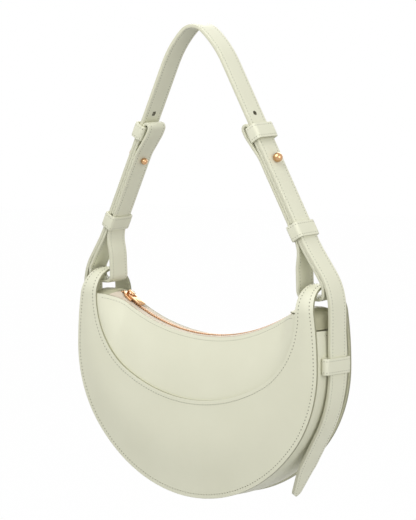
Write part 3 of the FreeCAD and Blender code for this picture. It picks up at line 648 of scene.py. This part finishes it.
def closed_line(corners, radius, step):
    # the same round four corners, from half way between the last and the first
    middle = (Vector(corners[-1]) + Vector(corners[0])) / 2
    return rounded_line([middle, *corners, middle], [radius] * 4, step)


def mirrored(place, side=-1):
    return Vector((side * place.x, place.y))


crown_corner = Vector((crown_radius * tan(crown_slope / 2), strap_rise + strap_wall / 2))
shoulder_corner = crown_corner + Vector((cos(crown_slope), -sin(crown_slope))) * crown_run
hip_corner = Vector((tail_across, hip_level))
flare_up = Vector((-sin(flare_angle), cos(flare_angle)))
flare_in = Vector((-flare_up.y, flare_up.x))
knee_corner = hip_corner + flare_up * flare_run
strap_up = (shoulder_corner - knee_corner).normalized()
strap_in = Vector((-strap_up.y, strap_up.x))


def leg_place(station, layer):
    # a place so far up the right leg from its hip, and so far in from its middle
    if station < flare_run:
        return hip_corner + flare_up * station + flare_in * layer
    return knee_corner + strap_up * (station - flare_run) + strap_in * layer


left_tail_radius = side_radius + tail_across - half_width
left_reach = left_tail_radius * tan(left_tail_lean / 2)
left_bend = Vector((-tail_across, -widest_depth - left_reach))
left_tail_way = Vector((sin(left_tail_lean), -cos(left_tail_lean)))
left_tip = left_bend + left_tail_way * (left_reach + left_tail_tip_run)
hook_across = tail_across - tail_lean * (tail_hook_depth - tail_bend_depth)
right_tip = Vector((hook_across - tail_tip_lean * (tail_depth - tail_hook_depth), -tail_depth))
leg_corners = [crown_corner, shoulder_corner, knee_corner, hip_corner]
leg_radii = [crown_radius, shoulder_radius, knee_radius, hip_radius]
strap_corners = [left_tip, left_bend] + [mirrored(corner) for corner in reversed(leg_corners)] + leg_corners
strap_corners += [Vector((tail_across, -tail_bend_depth)), Vector((hook_across, -tail_hook_depth)), right_tip]
strap_radii = [left_tail_radius] + leg_radii[::-1] + leg_radii + [tail_bend_radius, tail_hook_radius]
strap_run = rounded_line(strap_corners, strap_radii, 2)


def tail_width(here):
    # full width of the strap, tapered to a round tip at the ends of its tails
    tip, lean = (left_tip, left_tail_lean) if here.x < 0 else (right_tip, atan(tail_tip_lean))
    above = here.y - tip.y
    taper = tip_taper * cos(lean)
    if above >= taper:
        return strap_width
    slope = atan2(taper - tip_radius, strap_width / 2)
    touch = slope - acos(tip_radius / hypot(strap_width / 2, taper - tip_radius))
    touch_up = tip_radius + tip_radius * sin(touch)
    if above >= touch_up:
        narrow = tip_radius * cos(touch)
        return 2 * (narrow + (strap_width / 2 - narrow) * (above - touch_up) / (taper - touch_up))
    return 2 * sqrt(max(tip_radius ** 2 - (above - tip_radius) ** 2, blunt_tip))


def band(run, widths, wall, place, swell, inset, sewn_faces):
    # rings of a strap across its run, and the stitches along both edges of its sewn faces
    rings = []
    rows = [(face, edge, []) for face in sewn_faces for edge in (-1, 1)]
    for (here, out), width in zip(run, widths):
        rings.append([place(here.x + out.x * height, distance - width / 2, here.y + out.y * height)
                      for distance, height in leather_section(width, wall, swell, inset)])
        for face, edge, row in rows:
            back = edge * (width / 2 - min(inset, inset_limit * width))
            low = place(here.x, back, here.y)
            high = place(here.x + out.x * face, back, here.y + out.y * face)
            row.append((low.lerp(high, wall / 2 - stitch_sink), (high - low).normalized()))
    return rings, [row for face, edge, row in rows]


dark_hole_wall = leather_finish("dark_hole_edge", (0.16, 0.155, 0.095), (0.11, 0.105, 0.06),
                          (0.13, 0.125, 0.08), 0.3)


def punch(piece, radius, holes):
    # cuts round holes and colours their walls dark olive
    work = bmesh.new()
    for place, across in holes:
        turn = across.to_track_quat("Z", "Y").to_matrix().to_4x4()
        bmesh.ops.create_cone(work, cap_ends=True, segments=32, radius1=radius * mm, radius2=radius * mm,
                              depth=4 * strap_wall * mm, matrix=Matrix.Translation(place) @ turn)
    cutter = put_in_scene(work, "hole_cutter")
    cut = piece.modifiers.new("holes", "BOOLEAN")
    cut.object = cutter
    cut.solver = "EXACT"
    shaped = bpy.data.meshes.new_from_object(piece.evaluated_get(bpy.context.evaluated_depsgraph_get()))
    piece.modifiers.clear()
    shaped.materials.append(dark_hole_wall)
    for face in shaped.polygons:
        for place, across in holes:
            away = face.center - place
            if (away - across * away.dot(across)).length < 1.01 * radius * mm:
                face.material_index = 1
    piece.data = shaped
    bpy.data.objects.remove(cutter)


def through_leg(station, side, way):
    # the middle of a leg so far up from its hip, and a direction through it there
    middle = mirrored(leg_place(station, 0), side)
    way = mirrored(way, side)
    return on_leg(middle.x, 0, middle.y), (on_leg(way.x, 0, way.y) - horn_axis).normalized()


strap_sewing = (strap_swell, strap_stitch_inset, (-1, 1))
strap_widths = [tail_width(here) for here, out in strap_run]
rings, rows = band(strap_run, strap_widths, strap_wall, on_strap, *strap_sewing)
strap = make_piece(sweep(rings), "strap_and_tails", strap_leather, None, "leather",
                   "shoulder_strap", "left_strap_tail", "right_strap_tail")
stud_station = 119
hole_pitch = 42.5
hole_radius = 2
spare_holes = [through_leg(stud_station + hole_pitch, side, strap_in) for side in (-1, 1)]
punch(strap, hole_radius, spare_holes)
strap_stitches = add_stitches("strap_stitches", rows, None, fine_stitch)
for piece in (strap, strap_stitches):
    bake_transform(piece)

# Link straps: one thinner strip on each side, sewn along its edges as the strap is.
# It folds round the upper keeper, is held by the stud, passes the lower keeper twice
# and loops under the horn arch.

saddle_clearance = 5
saddle_radius = 4.2
link_bend_run = 12
link_sweep_radius = 25
link_straight_level = 36
link_drop = 1.3
fold_radius = 3.4
fold_rise = 3.4
fold_end_gap = 1
fold_bend_rise = 1
fold_bend_radius = 30
loop_slack = 5.5
loop_radius = 6
keeper_height = 13
lower_keeper_station = 56
upper_keeper_station = 144.5
stud_cap_radius = 3
fold_end = lower_keeper_station + keeper_height / 2 + fold_end_gap
next_layer = (strap_wall + link_wall) / 2 + layer_gap
outer_layer = next_layer + link_wall + layer_gap
fold_layer = next_layer + 2 * fold_radius
fold_top = upper_keeper_station + keeper_height / 2 + fold_rise
arch_inside = sqrt((half_thickness - panel_wall) ** 2 - (strap_width / 2) ** 2)
saddle = arch_inside - saddle_clearance - link_wall / 2
inside = horn_inner - horn_clearance - link_wall / 2 - loop_slack
leave = (tail_across + flare_in.x * next_layer - link_outside) / -flare_up.x
leave_level = leg_place(leave, next_layer).y - link_drop
hip_reach = hip_radius * tan(flare_angle / 2)
knee_middle = (strap_in + flare_in).normalized()
keeper_foot = lower_keeper_station - keeper_height / 2
sweep_reach = link_sweep_radius * tan(atan2(-strap_up.x, strap_up.y) / 2)
link_corners = [
    leg_place(fold_end, next_layer),
    leg_place(fold_top, next_layer),
    leg_place(fold_top, fold_layer),
    leg_place(upper_keeper_station + fold_bend_rise, fold_layer),
    leg_place(stud_station + stud_cap_radius + link_wall, outer_layer),
    leg_place(keeper_foot - sweep_reach, outer_layer),
    Vector((inside, link_straight_level)),
    Vector((inside, saddle)),
    Vector((link_outside, saddle)),
    Vector((link_outside, leave_level)),
    leg_place(hip_reach + link_bend_run / 2, next_layer),
    knee_corner + knee_middle * next_layer / knee_middle.dot(strap_in),
    leg_place(lower_keeper_station, next_layer),
]
link_radii = [fold_radius] * 2 + [fold_bend_radius] * 2 + [link_sweep_radius] * 2
link_radii += [loop_radius] + [saddle_radius] * 2 + [link_sweep_radius, knee_radius]
sides = (("left", -1), ("right", 1))
for name, side in sides:
    link_run = rounded_line([mirrored(corner, side) for corner in link_corners], link_radii, 1)
    rings, rows = band(link_run, [strap_width] * len(link_run), link_wall, on_leg, *strap_sewing)
    make_piece(sweep(rings), name + "_link", strap_leather, "strap", "leather", name + "_link_strap")
    add_stitches(name + "_link_stitches", rows, "strap", fine_stitch)

# Keepers: closed leather loops, sewn along both edges, that hold the straps together.
# The upper ones hold the fold of the links, the lower ones slide on the legs,
# and those on the gusset hold the tails.

keeper_stitch_inset = 2
keeper_swell = 0.12
keeper_corner = 1.8
upper_keeper_slack = 2
gusset_keeper_slack = 3.4
gusset_keeper_shift = 1.5
gusset_keeper_depth = 41.5


def make_keeper(name, body, stack, slack, place):
    # a loop round a stack of layers; place takes how far in, up and across the strap a point lies
    deep = stack / 2 + keeper_clearance + keeper_wall / 2
    wide = strap_width / 2 + slack + keeper_wall / 2
    corners = [(deep, wide), (-deep, wide), (-deep, -wide), (deep, -wide)]
    run = [(here, -inward) for here, inward in closed_line(corners, keeper_corner, 0.5)]
    rings, rows = band(run, [keeper_height] * len(run), keeper_wall, place,
                       keeper_swell, keeper_stitch_inset, (1,))
    make_piece(sweep(rings), name + "_loop", strap_leather, body, "leather", name)
    add_stitches(name + "_stitches", rows, body, fine_stitch)


def leg_keeper(name, side, station, layer, stack, body):
    middle = leg_place(station, layer)

    def place(deep, up, wide):
        here = mirrored(middle + strap_in * deep + strap_up * up, side)
        return on_leg(here.x, wide, here.y)

    make_keeper(name, body, stack, keeper_clearance, place)


def gusset_keeper(name, side):
    def place(deep, up, wide):
        return on_bag(side * (tail_across + deep), wide - gusset_keeper_shift, up - gusset_keeper_depth)

    make_keeper(name, "bag", strap_wall, gusset_keeper_slack, place)


for name, side in sides:
    leg_keeper(name + "_upper_keeper", side, upper_keeper_station,
               (next_layer + link_wall / 2 - strap_wall / 2 - upper_keeper_slack) / 2,
               strap_wall + link_wall + layer_gap + upper_keeper_slack, "strap")
    leg_keeper(name + "_lower_keeper", side, lower_keeper_station,
               (outer_layer + link_wall / 2 - strap_wall / 2) / 2,
               strap_wall + 2 * (link_wall + layer_gap), name + "_lower_keeper")
    gusset_keeper(name + "_gusset_keeper", side)

# Ball studs: polished rose gold metal, turned in two parts that screw together.
# The post and its ball go through the strap and the fold of the link, and the cap ball closes it inside.

stud_ball_radius = 4
stud_post_radius = 1.5
ball_seat_share = 0.8
post_overlap = 1


def metal_finish(name, colour, roughness, wear):
    # plated metal: clear shine with faint wiping marks
    finish, tree, shader = node_finish(name, colour, roughness, 1.0)
    marks = placed_node(tree, "ShaderNodeTexNoise", Scale=350, Detail=4, Roughness=0.65).outputs["Fac"]
    add_gloss(tree, shader, marks, roughness - wear, roughness + wear)
    add_bump(tree, shader, marks, 0.05, 0.0001)
    return finish


rose_gold = metal_finish("rose_gold", (0.6, 0.36, 0.19), 0.13, 0.05)


def turn_on_lathe(work, profile, middle, axis):
    # spins a half section, given as heights along the axis and radii, all the way round
    aside = axis.orthogonal().normalized()
    points = [work.verts.new(middle + (axis * height + aside * radius) * mm) for height, radius in profile]
    edges = [work.edges.new(pair) for pair in zip(points, points[1:])]
    bmesh.ops.spin(work, geom=points + edges, cent=middle, axis=axis, angle=2 * pi, steps=40,
                   use_merge=True)
    bmesh.ops.remove_doubles(work, verts=work.verts, dist=1e-7)
    bmesh.ops.recalc_face_normals(work, faces=work.faces)


def ball_profile(seat, hand, radius):
    # from the tip of the ball round to its flat seat on the leather
    centre = seat + hand * ball_seat_share * radius
    turns = [acos(-ball_seat_share) * step / 20 for step in range(21)]
    return [(centre + hand * radius * cos(turn), radius * sin(turn)) for turn in turns]


outer_face = strap_wall / 2 + sewn_gap
inner_face = -(outer_layer + link_wall / 2 + sewn_gap)
post_end = inner_face - post_overlap
post = [(outer_face, stud_post_radius), (post_end, stud_post_radius), (post_end, 0)]
for name, side in sides:
    middle, axis = through_leg(stud_station, side, -strap_in)
    work = bmesh.new()
    turn_on_lathe(work, ball_profile(outer_face, 1, stud_ball_radius) + post, middle, axis)
    turn_on_lathe(work, ball_profile(inner_face, -1, stud_cap_radius) + [(inner_face, 0)], middle, axis)
    make_piece(work, name + "_stud", rose_gold, "strap", "rose_metal",
               name + "_stud_post", name + "_stud_cap")

# Zip tapes: two narrow strips of ribbed cloth, sewn under the yokes' top edges.
# Both are bent to one shallow arc, and their inner edges carry the teeth.

tape_wall = 0.8
tape_edge = 2.2
tape_selvage = 0.6
rib_pitch = 1.1
tape_tuck = 0.8
zip_turn = asin(zip_half_span / zip_radius)


def on_zip(turn, back, lift):
    # a place on the zip's arc, turned towards the left end, so far back and so far above the tapes' middle
    reach = zip_radius - lift
    return on_bag(-reach * sin(turn), back, zip_radius - zip_depth - reach * cos(turn))


# ribbed cloth, whose cross ribs follow the tape's length
tape_light = (0.78, 0.7, 0.57)
ribs = 2 * zip_turn * zip_radius / rib_pitch
tape_cloth, tree, shader = node_finish("zip_tape_cloth", tape_light, 0.85)
rib = placed_node(tree, "ShaderNodeTexWave", "UV", Scale=ribs * pi / 10, Distortion=0.4, Detail=1)
two_tone(tree, shader, rib.outputs["Fac"], tape_light, (0.58, 0.5, 0.39), 0.6, 0.0003)
shader.inputs["Sheen Weight"].default_value = 0.2
for name, hand in faces:
    rings = []
    for step in range(161):
        turn = zip_turn * (1 - step / 80)
        across = -zip_radius * sin(turn)
        top_out, level = yoke_top(across)
        width = top_out - yoke_wall + tape_tuck - tape_edge
        fall = max(zip_level(across) - level, 0)
        section = leather_section(width, tape_wall, 0, tape_selvage)
        rings.append([on_zip(turn, hand * (tape_edge + place), height - fall * (max(place, 0) / width) ** 2)
                      for place, height in section])
    make_piece(sweep(rings), f"{name}_tape", tape_cloth, "bag", "zip_tape", f"zip_{name}_tape")

# Zip teeth and stops: small copper-coloured blocks clamped over the tapes' edges.
# The two rows stand half a pitch apart and mesh, and a stop closes each end.

tooth_pitch = 2.4
tooth_wall = 1
tooth_rise = 2.4
tooth_reach = 1.3
stop_length = 2
stop_split = 0.6
slider_end_gap = 8.6
slider_length = 13
diamond_length = 3.4
tooth_bevel = 0.28
stop_bevel = 0.4
chain_end = zip_half_span - stop_length - tooth_pitch
park_turn = asin((zip_half_span - slider_end_gap) / zip_radius)
copper = metal_finish("copper_teeth", (0.5, 0.3, 0.165), 0.26, 0.08)


def chain_block(work, turn, length, back, width, bevel):
    # one block across the chain, its edges rounded off
    made = bmesh.ops.create_cube(work, size=1)["verts"]
    shape = Matrix.Diagonal((length, width, tooth_rise, 1 / mm)) * mm
    place = Matrix.Translation(on_zip(turn, back, 0)) @ Matrix.Rotation(turn, 4, "Y")
    bmesh.ops.transform(work, verts=made, matrix=place @ shape)
    edges = list({edge for vert in made for edge in vert.link_edges})
    bmesh.ops.bevel(work, geom=edges, offset=bevel * mm, affect="EDGES", segments=1, profile=0.5, material=-1)


tooth_step = tooth_pitch / zip_radius
last_turn = park_turn + (slider_length / 2 - diamond_length - tooth_pitch) / zip_radius
for name, hand, stagger in (("front", -1, 0), ("back", 1, 0.5)):
    work = bmesh.new()
    first_turn = -asin(chain_end / zip_radius) + stagger * tooth_step
    for number in range(int((last_turn - first_turn) / tooth_step) + 1):
        chain_block(work, first_turn + number * tooth_step, tooth_wall, hand * (tape_edge - tooth_reach) / 2,
                    tape_edge + tooth_reach, tooth_bevel)
    make_piece(work, f"{name}_teeth", copper, "bag", "zip_metal", f"zip_{name}_teeth")
stop_turn = asin((zip_half_span - stop_length / 2) / zip_radius)
work = bmesh.new()
for hand in (-1, 1):
    chain_block(work, stop_turn, stop_length, hand * (tape_edge + stop_split / 2) / 2,
                tape_edge - stop_split / 2, stop_bevel)
make_piece(work, "top_stops", copper, "bag", "zip_metal", "zip_top_stops")
work = bmesh.new()
chain_block(work, -stop_turn, stop_length, 0, 2 * tape_edge, stop_bevel)
make_piece(work, "bottom_stop", copper, "bag", "zip_metal", "zip_bottom_stop")

# Zip slider: cast metal with the same rose gold plating.
# Two plates run above and below the teeth, joined at the nose by a wedge,
# and a bridge on top holds the pull.

slider_width = 9.6
slider_wall = 1.2
slider_clearance = 0.45
flange_wall = 1
diamond_width = 2
bridge_length = 8
bridge_room = 2.6
bridge_wall = 1.5
bridge_width = 3.4
nose_share = 0.3
nose_width_share = 0.62
plate_corner = 0.8
casting_overlap = 0.2
bridge_sink = 0.5
bridge_sides = 16
flange_setback = 0.05
flange_end_gap = 0.3
plate_bevel = 0.35
flange_bevel = 0.2
diamond_bevel = 0.1
plate_gap = tooth_rise / 2 + slider_clearance
slit_gap = tape_wall / 2 + slider_clearance


def on_slider(along_chain, back, lift):
    # a place on the parked slider: along the chain to the right, back, and up from the tapes' middle
    middle = on_zip(park_turn, back, lift)
    return middle + Matrix.Rotation(park_turn, 3, "Y") @ Vector((along_chain, 0, 0)) * mm


def cast_slab(work, outline, levels, bevel):
    # a flat outline raised to a slab with rounded edges
    low, high = sorted(levels)
    base = [work.verts.new(on_slider(place, back, low)) for place, back in outline]
    face = work.faces.new(base)
    raised = bmesh.ops.extrude_face_region(work, geom=[face])["geom"]
    lift = on_slider(0, 0, high) - on_slider(0, 0, low)
    top = [item for item in raised if isinstance(item, bmesh.types.BMVert)]
    bmesh.ops.translate(work, verts=top, vec=lift)
    edges = list({edge for vert in base + top for edge in vert.link_edges})
    bmesh.ops.bevel(work, geom=edges, offset=bevel * mm, affect="EDGES", segments=2, profile=0.5, material=-1)


top = plate_gap + slider_wall
reach = (bridge_length - bridge_wall) / 2
arch = top + bridge_room + bridge_wall / 2
bridge_foot = top - bridge_sink
bridge_corners = [(-reach, bridge_foot), (-reach, arch), (reach, arch), (reach, bridge_foot)]
rings = []
for here, out in rounded_line(bridge_corners, [bridge_room / 2] * 2, 0.3):
    ring = []
    for step in range(bridge_sides):
        angle = 2 * pi * step / bridge_sides
        rise = bridge_wall / 2 * sin(angle)
        ring.append(on_slider(here.x + out.x * rise, bridge_width / 2 * cos(angle), here.y + out.y * rise))
    rings.append(ring)
work = sweep(rings)

half = slider_length / 2
wide = slider_width / 2
nose = half - nose_share * slider_length
narrow = nose_width_share * wide
plate_side = [(half, wide - plate_corner), (half - plate_corner, wide), (-nose, wide),
              (-half + plate_corner, narrow + plate_corner / 2), (-half, narrow - plate_corner)]
plate_mirror = [(place, -back) for place, back in plate_side]
plate_outline = plate_mirror[:1] + plate_side + plate_mirror[:0:-1]
flange_end = half - flange_end_gap
for hand in (-1, 1):
    cast_slab(work, plate_outline, (hand * plate_gap, hand * top), plate_bevel)
    for side in (-1, 1):
        near, far = sorted((side * (wide - flange_wall), side * (wide - flange_setback)))
        flange = [(-nose, near), (flange_end, near), (flange_end, far), (-nose, far)]
        cast_slab(work, flange, (hand * slit_gap, hand * (plate_gap + casting_overlap)), flange_bevel)
middle = diamond_length / 2 - half
diamond = [(-half + casting_overlap, 0), (middle, -diamond_width / 2), (diamond_length - half, 0),
           (middle, diamond_width / 2)]
diamond_reach = plate_gap + casting_overlap
cast_slab(work, diamond, (-diamond_reach, diamond_reach), diamond_bevel)
bmesh.ops.recalc_face_normals(work, faces=work.faces)
make_piece(work, "slider", rose_gold, "zip_slider", "rose_metal", "zip_slider")

# Zip pull: a short rounded tab of the same metal with a window at one end.
# The bar beside the window turns under the slider's bridge, and the tab lies along the chain.

pull_length = 17
pull_width = 8
pull_wall = 1.6
pull_corner = 2.4
window_length = 6
window_width = 4.4
window_corner = 1
pull_lift = plate_gap + slider_wall + bridge_room / 2


def frame_run(start, end, wide, radius):
    corners = [(end, -wide), (end, wide), (start, wide), (start, -wide)]
    return evenly([here for here, out in closed_line(corners, radius, 0.2)], 96)


tab = frame_run(-pull_wall / 2, pull_length, pull_width / 2, pull_corner)
window = frame_run(pull_wall / 2, window_length, window_width / 2, window_corner)
rings = []
for outer, inner in zip(tab, window):
    width = (outer - inner).length
    aside = (outer - inner).normalized()
    section = []
    # heights are shares of the wall, and the outer edge is rounded
    for place, height in ((0, 0.25), (0.25, 0.5), (width - 0.5, 0.5), (width - 0.15, 0.36), (width, 0),
                          (width - 0.15, -0.36), (width - 0.5, -0.5), (0.25, -0.5), (0, -0.25)):
        here = inner + aside * place
        section.append(on_slider(here.x, here.y, pull_lift + height * pull_wall))
    rings.append(section)
make_piece(sweep(rings), "pull", rose_gold, "zip_pull", "rose_metal", "zip_pull")

# Zip end tabs: thin pieces of leather that close the bag's two ends under the horn arches, coloured a darker
# olive as painted shade.
# Each runs on from the end of the tapes and is tucked in behind the hem of the gusset.

tab_wall = 1
tab_half = 19
tab_level = 0.4
tab_swell_share = 0.11
tab_run = 13.5
tab_bend_radius = 8
tape_gap = 0.3
gusset_room = 2.2
tab_foot_rise = 0.5
# darker olive than the bag's leather: painted shade of the bag's ends under the arches
painted_shade_tab_leather = leather_finish("painted_shade_tab_leather", (0.5, 0.49, 0.34), (0.46, 0.45, 0.305),
                             crevice_shade_edge_paint, leather_grain)
tab_foot = flank_across(gusset_recess + gusset_wall, gusset_top) - gusset_room
tab_corners = [(zip_half_span + tape_gap, tab_level), (horn_inner + tab_run, tab_level),
               (tab_foot, gusset_top + tab_foot_rise)]
for name, side in sides:
    frames = []
    for here, out in rounded_line(tab_corners, [tab_bend_radius], 1):
        half = min(yoke_top(side * here.x)[0] - yoke_wall + tape_tuck, tab_half)
        frames.append(level_frame(mirrored(here, side), half, Vector((side * out.x, 0, out.y))))
    lay_leather(name + "_end_tab", frames, tab_wall, tab_swell_share, finish=painted_shade_tab_leather)

# Linings: plain woven cloth that covers the panels and the gusset inside, with a slip pocket at the back.
# Each sheet is sewn in along its edges and lies flat on the leather, so nothing is draped.

lining_wall = 0.8
cloth_hem = 2
stiffener_wall = 1.2
lining_recess = gusset_recess + gusset_wall + stiffener_wall + 2 * sewn_gap
pocket_width = 110
pocket_wall = 1.2
pocket_corner = 14
pocket_top = -seam_depth - 12
pocket_low = -body_depth + 25

# plain weave: two sets of threads that cross; its dark olive is partly the cloth's own colour and partly
# painted shade of the bag's inside
cloth_light = (0.42, 0.4, 0.26)
olive_cloth, tree, shader = node_finish("olive_lining", cloth_light, 0.9)
threads = [placed_node(tree, "ShaderNodeTexWave", Scale=420, Distortion=0.6, Detail=1) for way in range(2)]
threads[1].bands_direction = "Z"
weave = combined(tree, "MAXIMUM", *[thread.outputs["Fac"] for thread in threads])
two_tone(tree, shader, weave, cloth_light, (0.3, 0.285, 0.18), 0.5, 0.0002)


def lay_cloth(frames, wall, name, node):
    # a flat sheet; the size of its cut is worked out but not used
    work = sweep(laid_on(frames, wall, inset=cloth_hem))
    cut = sum(face.calc_area() for face in work.faces) / 2
    piece = make_piece(work, name, olive_cloth, "bag", "lining", node)


under_seam = yoke_underlap + sewn_gap
lining_top = seam_run(under_seam, asin(-gusset_top / (seam_radius + under_seam)))
lining_rim = rim_line(lining_recess, gusset_top)
lining_out = half_thickness - panel_wall - sewn_gap - lining_wall
for name, hand in faces:
    frames = [upright_frame(along(lining_top, step / 120), along(lining_rim, step / 120),
                            hand * lining_out, -hand) for step in range(121)]
    lay_cloth(frames, lining_wall, f"{name}_lining_cloth", f"{name}_lining")
room = half_thickness - panel_wall - lining_wall - 2 * sewn_gap
inner_rim = rim_line(lining_recess + lining_wall, gusset_top)
inner_frames = [(near, far, -out) for near, far, out in gusset_frames(inner_rim, room)]
lay_cloth(inner_frames, lining_wall, "gusset_lining_cloth", "gusset_lining")
pocket_frames = []
for step in range(81):
    across = pocket_width * (step / 80 - 0.5)
    over = max(abs(across) - pocket_width / 2 + pocket_corner, 0)
    low = pocket_low + pocket_corner - sqrt(max(pocket_corner ** 2 - over ** 2, 0))
    pocket_frames.append(upright_frame(Vector((across, pocket_top)), Vector((across, low)),
                                       room - pocket_wall, -1))
lay_cloth(pocket_frames, pocket_wall, "slip_pocket_cloth", "slip_pocket")

# Base stiffener: a strip of matt fibre board between the gusset and its lining.
# It is a plain cut strip, so the solid stays and only gets its speckled board finish.

board, tree, shader = node_finish("fibre_board", (0.35, 0.33, 0.3), 0.9)
fibres = placed_node(tree, "ShaderNodeTexNoise", Scale=700, Detail=5, Roughness=0.7)
two_tone(tree, shader, fibres.outputs["Fac"], (0.46, 0.44, 0.4), (0.22, 0.2, 0.18), 0.3, 0.0002)
for place in frame["nodes"]["base_stiffener"].material_slots:
    place.material = board

# Studio: a plain pale floor well below the hanging bag, a white backdrop and soft light.
# Camera, glossy and clear rays see the backdrop white, while a lower even light falls on the bag.

floor_level = -0.6
work = bmesh.new()
bmesh.ops.create_grid(work, x_segments=1, y_segments=1, size=6,
                      matrix=Matrix.Translation((0, 0, floor_level)))
floor = put_in_scene(work, "floor")


def mixed(tree, first, second, share=0.5):
    node = add_node(tree, "ShaderNodeMixShader", Fac=share)
    tree.links.new(first, node.inputs[1])
    tree.links.new(second, node.inputs[2])
    return node


def show(tree, lit, seen, output):
    # the camera, metal and clear things see one shader, while the other gives the light on the bag
    rays = tree.nodes.new("ShaderNodeLightPath").outputs
    eyes = combined(tree, "MAXIMUM", rays["Is Camera Ray"], rays["Is Glossy Ray"])
    shown = mixed(tree, lit, seen)
    tree.links.new(combined(tree, "MAXIMUM", eyes, rays["Is Transmission Ray"]), shown.inputs["Fac"])
    tree.links.new(shown.outputs["Shader"], tree.nodes[output].inputs["Surface"])


pale_floor, tree, shader = node_finish("pale_floor", (0.45, 0.45, 0.45), 0.8)
glow = add_node(tree, "ShaderNodeEmission", Color=(1, 1, 1, 1), Strength=1)
keep_shadow = mixed(tree, shader.outputs["BSDF"], glow.outputs["Emission"], 0.993)
show(tree, shader.outputs["BSDF"], keep_shadow.outputs["Shader"], "Material Output")
floor.data.materials.append(pale_floor)

world = bpy.data.worlds.new("studio")
world.use_nodes = True
tree = world.node_tree
soft_light = tree.nodes["Background"]
soft_light.inputs["Color"].default_value = (1, 1, 1, 1)
soft_light.inputs["Strength"].default_value = 0.52
backdrop = add_node(tree, "ShaderNodeBackground", Color=(1, 1, 1, 1), Strength=1)
show(tree, soft_light.outputs["Background"], backdrop.outputs["Background"], "World Output")
bpy.context.scene.world = world

lamps = [("top_light", (0.0, -0.62, 0.47), 0.8, 6.2),
         ("side_light", (1.35, -0.3, 0.05), 1, 7.3),
         ("back_light", (-0.7, 1.1, 0.45), 1, 9)]
lamp_aim = Vector((0, 0, -0.25))
for name, place, width, power in lamps:
    lamp = bpy.data.lights.new(name, "AREA")
    lamp.size = width
    lamp.energy = power
    holder = bpy.data.objects.new(name, lamp)
    holder.location = place
    holder.rotation_euler = (lamp_aim - Vector(place)).to_track_quat("-Z", "Y").to_euler()
    bpy.context.scene.collection.objects.link(holder)

camera = bpy.data.cameras.new("camera")
viewer = bpy.data.objects.new("camera", camera)
bpy.context.scene.collection.objects.link(viewer)
viewer.location = horn_axis + Vector((1.141, -1.25, 0.1743))
aim = horn_axis + Vector((-0.0009, 0, 0.0353))
viewer.rotation_euler = (aim - viewer.location).to_track_quat("-Z", "Y").to_euler()
camera.sensor_fit = "VERTICAL"
camera.sensor_height = 36
camera.lens = 139.4
camera.clip_end = 30
bpy.context.scene.camera = viewer
bpy.context.scene.view_settings.view_transform = "Standard"
